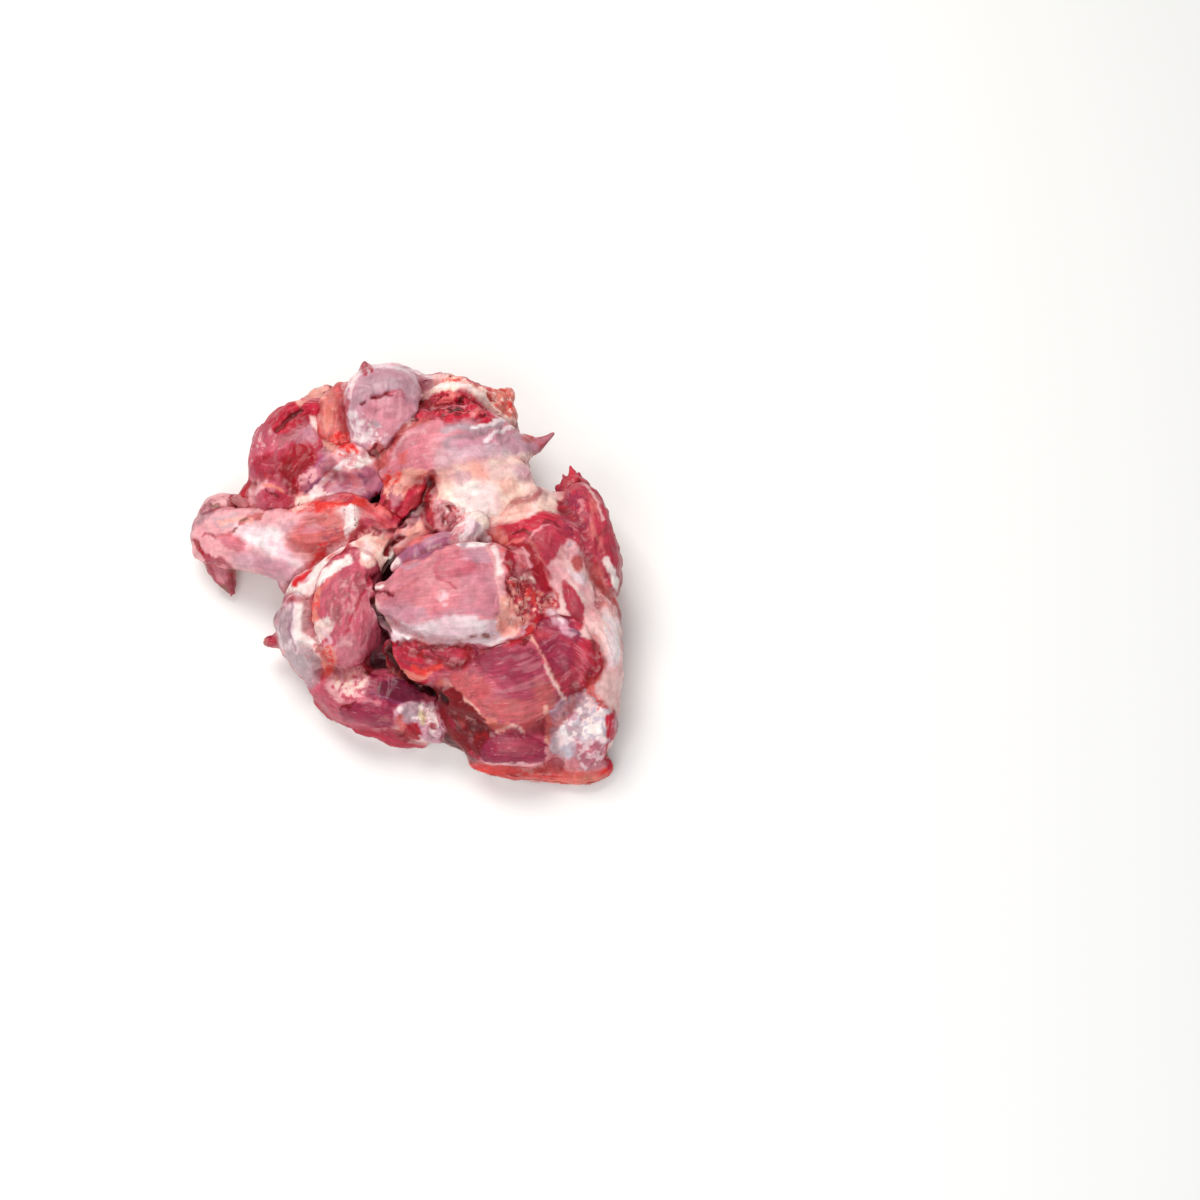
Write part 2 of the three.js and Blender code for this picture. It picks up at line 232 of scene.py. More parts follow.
def growPiece(facts):
    # All lobes of a muscle group grown together into one closed skin
    number = len(pieces)
    bpy.ops.object.select_all(action="DESELECT")
    grown = [addLobe(name, each, number) for name, each in facts["lobes"].items()]
    bpy.ops.object.select_all(action="DESELECT")
    for body in grown:
        body.select_set(True)
    bpy.context.view_layer.objects.active = grown[0]
    bpy.ops.object.join()
    piece = bpy.context.object
    piece.name = facts["name"]
    piece.data.name = facts["name"]
    bpy.ops.object.transform_apply(location=True, rotation=True, scale=True)
    voxel = facts["voxel"] * 1
    applyModifier(piece, "DISPLACE", strength=facts["blend"] * mm, mid_level=0)
    applyModifier(piece, "REMESH", mode="VOXEL", voxel_size=voxel * mm, use_smooth_shade=True)
    applyModifier(piece, "DISPLACE", strength=-facts["blend"] * mm, mid_level=0)
    applyModifier(piece, "SMOOTH", factor=growFacts["smoothing"], iterations=growFacts["rounds"])
    pieces.append({"object": piece, "number": number, **facts})
    print(facts["name"], "grown:", len(piece.data.polygons), "faces")


def lobe(tissue, spine, wide, thick, **facts):
    # A muscle, fold or lump: the line it runs along, and half its width and thickness at points of it, in mm.
    # full below 1 makes its ends blunter and square below 1 its section squarer; lean turns it about its
    # line and grain gives its fibres' direction, in degrees.
    return {"skin": tissue, "spine": spine, "wide": wide, "thick": thick, **facts}


def mark(tissue, places, **facts):
    # Tissue that shows at places of the photograph, in pixels across and down in turn: a line where it has
    # a width, else a patch. share is how strongly it covers, and soft how wide its edge is; cover is how
    # much of it shows, in grit of that size; lift raises the surface by so many mm, and crumb roughens it.
    return {"is": tissue, "at": list(zip(places[::2], places[1::2])), **facts}


pieces = []

# The fat side that it lies on, and the floor of the crevice between the muscles
fatSide = {
    "name": "fatSide",
    "voxel": 1.6,
    "blend": 7,  # mm that creases are filled by
    "facets": (26, 0.14),  # how far apart the cut facets are, and how steep
    "lobes": {
        "bedLeft": lobe("pinkFat", [(-86, 84, 22), (-68, 38, 25), (-54, -2, 25), (-54, -44, 23), (-40, -88, 16)],
            [22, 29, 27, 29, 24], [22, 29, 28, 27, 17], full=0.7, square=0.85),
        "bedBack": lobe("pinkFat", [(-90, 88, 24), (-34, 108, 32), (39, 106, 32), (86, 80, 22)], [28, 36, 36, 22],
            [24, 34, 34, 22], full=0.7, square=0.9),
        "bedRight": lobe("pinkFat", [(98, 64, 20), (107, 23, 27), (111, -52, 28), (109, -121, 16)], [22, 36, 39, 32],
            [20, 33, 33, 18], full=0.65, square=0.85),
        "bedMiddle": lobe("pinkFat", [(50, 92, 28), (55, 13, 33), (58, -52, 31), (62, -118, 17)], [28, 37, 38, 30],
            [26, 35, 32, 18], full=0.65, square=0.85),
        # the crevice floor's dark skin is painted shade
        "creviceFloor": lobe("shadedMeat", [(-16, 92, 15), (-10, 25, 13), (2, -45, 11), (18, -106, 7)],
            [50, 66, 60, 38], [21, 21, 20, 14], full=0.5, square=0.7),
    },
    "marks": {
        # The crevice marks are painted shade: dark red and near-black lines down the gap between the muscles
        "creviceTop": mark("deepRed", [432, 473, 427, 500, 412, 522], width=9, share=0.6),
        "creviceMiddle": mark("deepRed", [388, 562, 381, 570, 376, 580, 373, 590], width=4, lift=-2.5),
        "creviceSide": mark("shadedMeat", [372, 600, 376, 612, 381, 622], width=4, lift=-3),
        "creviceCore": mark("gapShade", [381, 619, 386, 630, 388, 645, 390, 660, 397, 671], width=8, lift=-5, soft=3),
        "creviceFoot": mark("gapShade", [397, 671, 408, 681, 420, 687], width=5, soft=3, lift=-4),
        "creviceFootCore": mark("gapShade", [420, 687, 434, 692, 446, 701], width=7, lift=-4, soft=4),
    },
}
growPiece(fatSide)

# The far left: trimmed muscle with its rim, and the fat and purple folds along it
farLeft = {
    "name": "farLeft",
    "voxel": 0.92,
    "blend": 4,
    "facets": (17, 0.08),
    "lobes": {
        "leftTop": lobe("redLean", [(-96, 55, 34), (-88, 89, 44), (-59, 122, 50)], [20, 25, 20], [22, 28, 24],
            full=0.6, square=0.85),
        "cutPatch": lobe("redLean", [(-87, 53, 50), (-76, 71, 58), (-61, 89, 62)], [14, 18, 14], [12, 14, 12],
            full=0.7),
        "roll": lobe("brightLean", [(-97, 95, 62), (-82, 107, 71), (-63, 112, 72)], [6, 8, 6], [7, 8, 6]),
        "rim": lobe("rosePink", [(-101, 55, 42), (-105, 77, 50), (-99, 98, 57)], [9, 10, 9], [12, 14, 11]),
        "junction": lobe("palePink", [(-56, 75, 66), (-38, 67, 72), (-20, 64, 66)], [9, 13, 12], [6, 8, 7]),
        "purpleA": lobe("purple", [(-69, 53, 58), (-53, 74, 66)], [9, 9], [10, 10], full=0.6),
        "purpleB": lobe("purple", [(-63, 46, 54), (-40, 53, 61), (-17, 61, 58)], [11, 15, 12], [8, 9, 8], full=0.7,
            square=0.85),
        "fatUnder": lobe("creamFat", [(-82, 40, 50), (-63, 44, 56), (-43, 45, 56)], [6, 7, 6], [7, 7, 6]),
        "crimson": lobe("crimson", [(-114, 43, 34), (-110, 65, 42)], [8, 9], [12, 12], full=0.6),
        "knob": lobe("roseLean", [(-107, 46, 47), (-95, 50, 52), (-84, 46, 49)], [9, 11, 9], [10, 12, 10], full=0.6),
        "farLeft": lobe("palePink", [(-149, 39, 20), (-138, 51, 28), (-121, 55, 34)], [6, 10, 10], [7, 10, 10]),
        "underTip": lobe("roseLean", [(-126, 41, 28), (-114, 42, 34), (-102, 42, 38)], [9, 10, 9], [9, 10, 9]),
        "underPurple": lobe("roseLean", [(-91, 53, 38), (-57, 53, 44), (-27, 59, 42)], [20, 26, 18], [18, 20, 18]),
        "topBits": lobe("creamFat", [(-73, 129, 48), (-57, 136, 54)], [7, 6], [7, 6], full=0.6),
    },
    "marks": {
        "rimPale": mark("roseLean", [247, 440, 258, 428, 270, 424, 286, 440, 292, 430, 298, 438, 288, 448, 277, 452,
            262, 452, 256, 462, 255, 474, 250, 478, 246, 458]),
        "rimSpecks": mark("pinkFat", [248, 440, 262, 427, 276, 432, 284, 446, 266, 452, 254, 474, 248, 462],
            cover=0.22, grit=2.6, share=0.55),
        "cutOuter": mark("redLean", [255, 466, 258, 457, 268, 452, 276, 453, 279, 460, 275, 470, 268, 474, 258, 473],
            soft=3),
        "cutOuterDark": mark("crimson", [260, 458, 272, 454, 276, 462, 264, 464], cover=0.5),
        "cutSeam": mark("duskyLean", [277, 449, 276, 462, 280, 475], width=3),
        "cutInner": mark("crimson", [280, 459, 289, 450, 296, 441, 308, 441, 314, 451, 318, 456, 312, 466, 300, 475,
            296, 484, 296, 495, 290, 496, 284, 486, 280, 472], lift=-1.4, soft=2.6),
        "cutInnerDark": mark("deepRed", [279, 458, 291, 458, 293, 470, 290, 484, 286, 490, 281, 474], soft=6,
            share=0.6),
        "greyPink": mark("duskyRose", [288, 440, 298, 428, 308, 424, 314, 432, 318, 442, 310, 443, 296, 441], soft=6),
        "greyPinkLight": mark("lilacFilm", [302, 430, 310, 426, 316, 438, 306, 438], soft=6, share=0.7),
        "rimWall": mark("duskyLean", [278, 436, 292, 431, 300, 424, 306, 418, 308, 424, 298, 432, 288, 443,
            279, 446]),
        "roll": mark("brightLean", [270, 428, 278, 420, 284, 412, 292, 411, 300, 403, 310, 404, 318, 406, 318, 413,
            308, 415, 300, 421, 290, 428, 280, 434, 275, 433], lift=0.8),
        "rollGroove": mark("deepRed", [276, 431, 285, 424, 293, 416, 302, 409], width=5, lift=-2.5),
        "whiteSliver": mark("pinkFat", [311, 416, 315, 426, 320, 436, 325, 446], width=4, lift=0.6),
        "orangeStrip": mark("salmonLean", [324, 387, 334, 380, 341, 374, 344, 382, 346, 398, 349, 406, 346, 421,
            348, 434, 356, 448, 348, 455, 337, 450, 328, 440, 321, 428, 320, 414, 321, 401], soft=3),
        "orangeGlow": mark("orangeFlesh", [324, 400, 332, 390, 336, 402, 333, 424, 324, 428], soft=7, share=0.75),
        "stripPale": mark("pinkLean", [325, 386, 334, 381, 334, 396, 326, 404], cover=0.5, grit=2.6,
            stretch=(3, 1, 1), soft=5),
        "orangeFoot": mark("blood", [329, 436, 340, 432, 350, 436, 358, 450, 350, 454, 338, 448], cover=0.75,
            crumb=0.8),
        "stripBlood": mark("brightBlood", [334, 436, 346, 434, 356, 448, 344, 452], cover=0.4, grit=2.6),
        "stripCream": mark("peachFat", [324, 441, 330, 446, 336, 453], width=5),
        "stripEdge": mark("salmonLean", [339, 378, 342, 396, 343, 406, 339, 420, 342, 430], width=5, share=0.9,
            soft=4),
        "stripRedLine": mark("redLean", [340, 390, 343, 404, 340, 418], width=3.4, share=0.7),
        "peach": mark("peachFat", [300, 402, 308, 395, 318, 392, 322, 398], width=8),
        "creamBits": mark("peachFat", [311, 382, 325, 381, 328, 390, 318, 398, 306, 398, 312, 390], cover=0.65,
            grit=3.5, crumb=0.7),
        "junction": mark("palePink", [338, 452, 345, 450, 355, 455, 369, 453, 374, 461, 360, 470, 344, 470, 336, 462],
            crumb=0.5),
        "junctionFat": mark("whiteFat", [338, 452, 350, 450, 360, 456, 374, 456, 368, 466, 350, 470, 340, 462],
            cover=0.6, grit=3.2, crumb=0.7),
        "junctionRed": mark("blood", [328, 436, 342, 437, 352, 450, 346, 458, 336, 455], cover=0.3, grit=2.5),
        "purpleA": mark("duskyRose", [318, 478, 318, 468, 325, 460, 335, 460, 338, 465, 330, 474, 323, 482], soft=3),
        "purpleAPale": mark("deepPurple", [322, 466, 329, 464, 330, 472, 324, 476], soft=6, share=0.55),
        "purpleB": mark("rosePink", [322, 492, 327, 484, 338, 476, 344, 471, 352, 470, 362, 470, 372, 465, 381, 473,
            377, 486, 366, 493, 350, 494, 335, 495]),
        "purpleBGlow": mark("purple", [362, 468, 373, 466, 379, 474, 376, 486, 366, 488, 360, 480], share=0.7,
            soft=6),
        "purpleBDark": mark("purple", [338, 478, 348, 474, 352, 484, 346, 492, 338, 488], soft=6, share=0.6),
        "purpleBLilac": mark("lilacFilm", [324, 492, 334, 486, 352, 490, 366, 486, 362, 494, 334, 496], share=0.8),
        "purpleBDot": mark("deepPurple", [361, 476, 366, 480], width=4, soft=4, share=0.7),
        "filmLine": mark("whiteFilm", [341, 464, 332, 474, 322, 483, 312, 491], width=5, lift=0.6),
        "underLine": mark("deepPurple", [303, 495, 309, 488, 316, 483, 321, 480], width=2.6, lift=-0.8),
        "fatUnder": mark("whiteFat", [310, 492, 318, 485, 324, 492, 340, 495, 326, 499, 308, 500], crumb=0.6),
        "fatUnderLeft": mark("creamFat", [296, 497, 303, 494, 312, 500, 306, 507, 293, 513, 294, 504], crumb=0.7),
        "fatPatch": mark("palePink", [300, 476, 308, 470, 316, 468, 318, 480, 308, 486, 300, 484], cover=0.7,
            crumb=0.6),
        "crimson": mark("crimson", [230, 492, 244, 488, 247, 482, 254, 480, 258, 487, 254, 497, 254, 509, 239, 513,
            229, 508], soft=2.4),
        "knob": mark("roseLean", [252, 497, 258, 487, 273, 486, 284, 490, 295, 500, 288, 512, 273, 511, 254, 508]),
        "knobRim": mark("palePink", [254, 506, 252, 496, 257, 488, 266, 484], width=8, share=0.95),
        "knobFlesh": mark("redLean", [263, 493, 276, 490, 288, 498, 286, 507, 268, 508], cover=0.7, grit=4),
        "knobLine": mark("orangeFlesh", [265, 485, 273, 487, 281, 492], width=3.4),
        "knobSlit": mark("deepRed", [266, 490, 272, 494, 277, 496], width=2.6, share=0.9),
        "underKnob": mark("redLean", [281, 494, 296, 501, 292, 513, 280, 512], share=0.8),
        "farTip": mark("brown", [197, 515, 204, 504, 218, 499, 230, 500, 232, 508, 212, 514], cover=0.5, grit=4),
        "farTipGrey": mark("duskyRose", [196, 516, 206, 503, 222, 498, 232, 504, 216, 513], cover=0.5, grit=2.6),
        "farTipPink": mark("duskyRose", [200, 515, 213, 505, 226, 503, 230, 509, 210, 517], cover=0.4),
    },
}
growPiece(farLeft)

# The far end: a domed muscle under silverskin, and the cut pocket beside it
farEnd = {
    "name": "farEnd",
    "voxel": 0.92,
    "blend": 3.5,
    "facets": (17, 0.07),
    "lobes": {
        "dome": lobe("lilacFilm", [(-19, 77, 64), (-17, 109, 72), (-16, 143, 62)], [24, 29, 26], [22, 27, 20],
            full=0.6, square=0.85),
        "orangeStrip": lobe("coralFlesh", [(-41, 136, 55), (-47, 108, 65), (-48, 77, 63)], [13, 16, 14], [9, 10, 9],
            full=0.6, square=0.7),
        "stripFill": lobe("coralFlesh", [(-41, 131, 54), (-41, 110, 60), (-40, 88, 60)], [9, 10, 9], [10, 12, 11]),
        "domeCollar": lobe("paleFilm", [(-43, 130, 62), (-19, 145, 60), (13, 137, 64)], [7, 8, 8], [9, 9, 9]),
        "underDome": lobe("roseLean", [(-63, 87, 42), (-45, 109, 46), (-29, 129, 40)], [20, 24, 18], [22, 24, 18]),
        "pocket": lobe("redLean", [(5, 114, 58), (34, 117, 66), (64, 111, 56)], [14, 18, 14], [14, 17, 14]),
        "fatArc": lobe("pinkFat", [(9, 137, 68), (31, 131, 77), (52, 122, 75), (73, 105, 60)], [4, 4.5, 4.5, 5],
            [5, 6.5, 6.5, 5]),
        "backCrumbs": lobe("orangeFlesh", [(19, 122, 54), (40, 122, 56), (60, 119, 55), (76, 112, 50)],
            [11, 13, 14, 13], [15, 14, 16, 16], full=0.6, square=0.85),
        "crumbPeak": lobe("orangeFlesh", [(30, 128, 58), (34, 134, 60), (37, 140, 60)], [7, 6, 3.5], [7, 6, 3.5]),
        "crumbCorner": lobe("orangeFlesh", [(60, 121, 57), (70, 129, 55), (75, 137, 53)], [9, 8, 5], [9, 8, 5],
            full=0.6),
        "underArc": lobe("redLean", [(-3, 128, 46), (31, 126, 50), (67, 111, 42)], [16, 20, 16], [20, 22, 18]),
        "shred": lobe("duskyLean", [(-35, 140, 60), (-32, 153, 67)], [4, 2], [4, 2]),
    },
    "marks": {
        "dome": mark("lilacFilm", [345, 384, 358, 374, 382, 368, 412, 369, 428, 376, 428, 396, 416, 416, 404, 431,
            386, 447, 366, 450, 352, 436, 345, 410], soft=5),
        "domeRose": mark("rosePink", [362, 408, 380, 395, 404, 399, 412, 410, 398, 428, 380, 436, 366, 428],
            share=0.65, soft=10),
        "domeShade": mark("greyFilm", [350, 392, 374, 379, 402, 376, 420, 388, 410, 396, 384, 388, 358, 402],
            share=0.6, soft=6),
        # pale film along the dome's top edge, lightened with a painted sheen
        "domeTopSheen": mark("paleFilm", [344, 380, 362, 371, 388, 366, 414, 368, 430, 376], width=7, share=0.8),
        "domeArc": mark("deepRed", [361, 404, 366, 400], width=2.6, lift=-1.8),
        "domeArcB": mark("deepRed", [373, 397, 380, 394, 388, 392, 393, 394], width=4, lift=-1.4),
        "domeArcC": mark("redLean", [392, 391, 399, 389, 405, 397], width=2.2, share=0.8),
        "domeArcSpot": mark("roseLean", [390, 391, 398, 390, 404, 396, 397, 397], share=0.7),
        "domeLower": mark("paleFilm", [348, 412, 362, 414, 374, 430, 378, 444, 362, 448, 350, 436], cover=0.5,
            grit=4),
        "domeFat": mark("whiteFat", [350, 424, 366, 418, 380, 424, 386, 436, 372, 448, 356, 446], cover=0.3, grit=2.6,
            share=0.6),
        "domeDot": mark("greyFilm", [372, 422, 380, 422, 379, 428, 373, 427]),
        "domeLeft": mark("redLean", [346, 394, 347, 404, 344, 414], width=3.5, share=0.7),
        "domeCorner": mark("whiteFat", [342, 384, 345, 376, 358, 374, 354, 386, 347, 398], cover=0.75, crumb=0.4,
            share=0.8),
        "domeRight": mark("lilacFilm", [429, 374, 424, 394, 415, 414, 402, 428], width=8, share=0.5, soft=5),
        "domeBorder": mark("whiteFilm", [419, 370, 429, 376, 432, 386, 426, 398], width=6),
        # painted shade: a near-black line in the gap beside the dome
        "domeGap": mark("gapShade", [423, 402, 414, 420, 403, 432, 394, 441, 385, 452, 382, 466], width=4.5, lift=-2.2),
        "brownBit": mark("salmonLean", [368, 446, 378, 440, 386, 444, 384, 462, 378, 470, 370, 460], share=0.9),
        "brownSpot": mark("brown", [374, 446, 384, 450, 382, 464, 376, 460], cover=0.5),
        "brownLine": mark("deepRed", [372, 448, 377, 443], width=3.4),
        "brownDot": mark("deepRed", [370, 455, 373, 457], width=3),
        "pocket": mark("brightLean", [417, 405, 429, 399, 442, 390, 458, 389, 474, 396, 487, 409, 493, 421, 485, 423,
            475, 418, 458, 419, 447, 424, 434, 419, 417, 421], crumb=1.1),
        "pocketDark": mark("deepRed", [424, 404, 444, 394, 466, 394, 482, 408, 484, 418, 456, 417, 434, 416],
            cover=0.42, grit=3.4, crumb=1.3),
        "pocketBright": mark("coralFlesh", [420, 406, 442, 393, 462, 392, 484, 412, 470, 416, 446, 412, 430, 417],
            cover=0.26, grit=2.6),
        "pocketOrange": mark("redLean", [417, 408, 430, 400, 438, 400, 430, 416, 418, 419], cover=0.5),
        # painted shade in the hole of the pocket
        "pocketHole": mark("shadedMeat", [436, 407, 446, 403, 461, 399, 466, 409, 452, 412], cover=0.6, lift=-2.5),
        "pocketEdge": mark("redLean", [416, 423, 434, 418, 447, 425, 459, 421], width=3),
        "pocketBit": mark("pinkLean", [470, 411, 476, 412, 475, 417, 470, 416]),
        "backCrumbs": mark("orangeFlesh", [441, 384, 455, 373, 468, 380, 485, 386, 501, 381, 513, 389, 515, 405,
            512, 421, 501, 414, 488, 396, 474, 387], crumb=1.0),
        "crumbsRed": mark("blood", [444, 383, 456, 375, 486, 387, 502, 383, 513, 392, 511, 416, 498, 408], cover=0.3,
            grit=3.4),
        "crumbsPale": mark("creamFat", [446, 382, 456, 375, 486, 387, 502, 383, 513, 392, 511, 416, 498, 404],
            cover=0.26, grit=2.6),
        "crumbsDark": mark("redLean", [468, 380, 478, 384, 490, 389], width=3.5),
        "crumbsRim": mark("orangeFlesh", [500, 382, 512, 388, 516, 404, 513, 420], width=5, share=0.7),
        "fatArc": mark("creamFat", [424, 397, 436, 390, 453, 387, 468, 387, 479, 395, 491, 406, 502, 416, 513, 422],
            width=6, lift=0.8),
        "fatArcWhite": mark("whiteFat", [438, 389, 456, 385, 472, 389, 488, 401], width=3.5, share=0.8),
        "shred": mark("redLean", [364, 374, 366, 366, 372, 370], width=5),
    },
}
growPiece(farEnd)

# The broad flap of film and cream fat, and the crimson cleft at its foot
upperFlap = {
    "name": "upperFlap",
    "voxel": 0.92,
    "blend": 4.5,
    "facets": (20, 0.07),
    "lobes": {
        "upperFlap": lobe("rosePink", [(-18, 69, 58), (15, 75, 78), (55, 76, 82), (89, 82, 61)], [20, 26, 26, 13],
            [16, 18, 15, 9], full=0.55, square=0.85, lean=6),
        "flapSlope": lobe("paleFilm", [(20, 60, 66), (50, 62, 75), (78, 66, 66)], [22, 28, 20], [17, 19, 15],
            full=0.6, square=0.85, lean=16),
        "creamFat": lobe("creamFat", [(16, 45, 62), (48, 47, 71), (71, 46, 65), (90, 36, 54), (108, 36, 46)],
            [18, 28, 25, 9, 7], [15, 20, 17, 13, 10], full=0.6, square=0.85, lean=24),
        "spike": lobe("duskyLean", [(73, 89, 62), (91, 87, 60), (106, 96, 63)], [12, 7, 1.5], [7, 5, 1.5]),
        "centreRed": lobe("redLean", [(-13, 31, 52), (0, 43, 62), (21, 61, 66)], [11, 14, 10], [12, 14, 10],
            full=0.7),
        "centreCrimson": lobe("crimson", [(-4, 24, 57), (14, 42, 64), (26, 58, 66)], [8, 10, 7], [12, 13, 10]),
        "ridge": lobe("redLean", [(25, 57, 64), (26, 35, 68), (21, 15, 66)], [6, 7, 7], [9, 10, 10], full=0.7),
    },
    "marks": {
        "flapBack": mark("rosePink", [385, 460, 391, 442, 405, 430, 421, 422, 436, 420, 447, 426, 458, 422, 490, 428,
            512, 424, 531, 437, 531, 456, 470, 462, 440, 470, 400, 468]),
        "flapPink": mark("rosePink", [392, 452, 405, 434, 428, 426, 448, 430, 440, 450, 418, 462], share=0.7, soft=8),
        "flapSpecks": mark("whiteFilm", [390, 462, 404, 436, 440, 428, 446, 448, 420, 466], cover=0.14, grit=2.6,
            share=0.25),
        "flapLilac": mark("lilacFilm", [440, 440, 470, 434, 500, 432, 528, 440, 520, 452, 480, 456, 450, 456],
            share=0.8, soft=12),
        "streakA": mark("greyFilm", [445, 431, 463, 427, 480, 429, 500, 424], width=8, soft=5),
        "streakB": mark("ashFilm", [446, 444, 452, 439, 470, 436, 486, 433], width=5, soft=5, share=0.9),
        "streakC": mark("greyFilm", [438, 452, 456, 449, 476, 447], width=4, soft=4, share=0.6),
        "lineA": mark("whiteFilm", [473, 427, 490, 424, 505, 420], width=3.5, lift=0.5),
        "lineB": mark("whiteFilm", [487, 441, 495, 434, 513, 427], width=4.5, lift=0.6),
        "lineC": mark("paleFilm", [494, 446, 510, 437, 524, 433], width=3, share=0.8),
        "flapPurple": mark("lilacFilm", [494, 441, 512, 434, 529, 438, 531, 451, 501, 453], share=0.9),
        "flapDot": mark("greyFilm", [486, 444, 493, 444, 493, 450, 487, 450]),
        "lavender": mark("paleFilm", [440, 462, 462, 456, 490, 454, 514, 455, 534, 456], width=12, soft=14,
            share=0.6),
        "flapRim": mark("salmonLean", [385, 465, 388, 449, 400, 434, 413, 424, 426, 420], width=6, soft=4, share=0.9),
        "flapRimPale": mark("palePink", [391, 460, 396, 446, 408, 436], width=4, share=0.7),
        "flapCream": mark("palePink", [428, 441, 440, 439, 443, 450, 431, 454], share=0.35, soft=8),
        "flapGlow": mark("coralFlesh", [398, 454, 408, 454, 408, 463, 398, 463], share=0.8, soft=5),
        "creamFat": mark("creamFat", [434, 469, 458, 464, 485, 461, 534, 455, 538, 492, 558, 500, 556, 513, 540, 512,
            520, 520, 500, 525, 484, 529, 468, 522, 450, 506, 437, 486], soft=12),
        "creamPeachA": mark("orangeFlesh", [462, 466, 478, 461, 490, 474, 482, 486, 466, 480], soft=13, share=0.6),
        "creamPeachB": mark("peachFat", [498, 506, 514, 500, 530, 504, 528, 514, 506, 518], soft=8, share=0.6),
        "creamWhite": mark("whiteFat", [452, 488, 474, 480, 496, 488, 494, 516, 466, 518, 454, 504], soft=13,
            share=0.9),
        "creamWhiteB": mark("pinkFat", [484, 464, 510, 462, 520, 474, 498, 482], soft=10, share=0.8),
        "creamLilac": mark("lilacFilm", [452, 474, 468, 470, 472, 480, 456, 484], soft=5, share=0.7),
        "creamGrey": mark("lilacFilm", [514, 466, 536, 462, 537, 476, 518, 481], soft=9, share=0.8),
        "creamPink": mark("peachFat", [498, 480, 516, 476, 520, 492, 504, 494], soft=6, share=0.6),
        "creamEdge": mark("whiteFat", [538, 480, 536, 500, 531, 516], width=6, soft=5, share=0.5),
        "spikeRoot": mark("salmonLean", [523, 436, 535, 436, 541, 441, 534, 446, 524, 443]),
        "spikeTip": mark("duskyRose", [536, 440, 546, 440, 554, 435], width=6),
        "spikeUnder": mark("lilacFilm", [512, 444, 534, 443, 535, 452, 514, 453]),
        "centreRim": mark("peachFat", [388, 478, 400, 470, 421, 470, 435, 474, 425, 483, 412, 487, 403, 498, 390, 502,
            384, 490], soft=5),
        "centreGlow": mark("blood", [384, 488, 386, 474, 396, 470, 404, 474, 394, 486], cover=0.75, crumb=0.7),
        "centrePale": mark("orangeFlesh", [410, 482, 424, 475, 430, 478, 418, 486, 404, 494, 402, 488], share=0.9),
        "centreStripes": mark("deepRed", [374, 492, 390, 488, 392, 506, 376, 508], cover=0.42, grit=2.8),
        "centrePink": mark("duskyRose", [390, 488, 400, 484, 402, 496, 396, 506, 390, 500], cover=0.6),
        "centreCrimson": mark("brightLean", [408, 490, 416, 484, 424, 480, 431, 480, 432, 487, 429, 498, 426, 508,
            419, 513, 411, 513, 405, 521, 401, 527, 396, 525, 388, 520, 396, 512, 402, 503], soft=3, lift=-1),
        "centreDeep": mark("crimson", [404, 506, 414, 496, 424, 488, 428, 496, 420, 508, 408, 514], soft=3.4),
        # painted shade: a near-black slit beside the crimson
        "centreSlitShade": mark("gapShade", [430, 482, 426, 492, 423, 503, 418, 510, 410, 513, 404, 520, 400, 527], width=5.5,
            lift=-2.5, soft=3.4),
        "centreBright": mark("crimson", [432, 480, 434, 494, 430, 510], width=4),
        "redWall": mark("redLean", [426, 508, 434, 498, 438, 506, 438, 526, 428, 530, 420, 524]),
        "redWallBright": mark("coralFlesh", [430, 494, 440, 498, 440, 522, 431, 524], cover=0.45),
    },
}
growPiece(upperFlap)

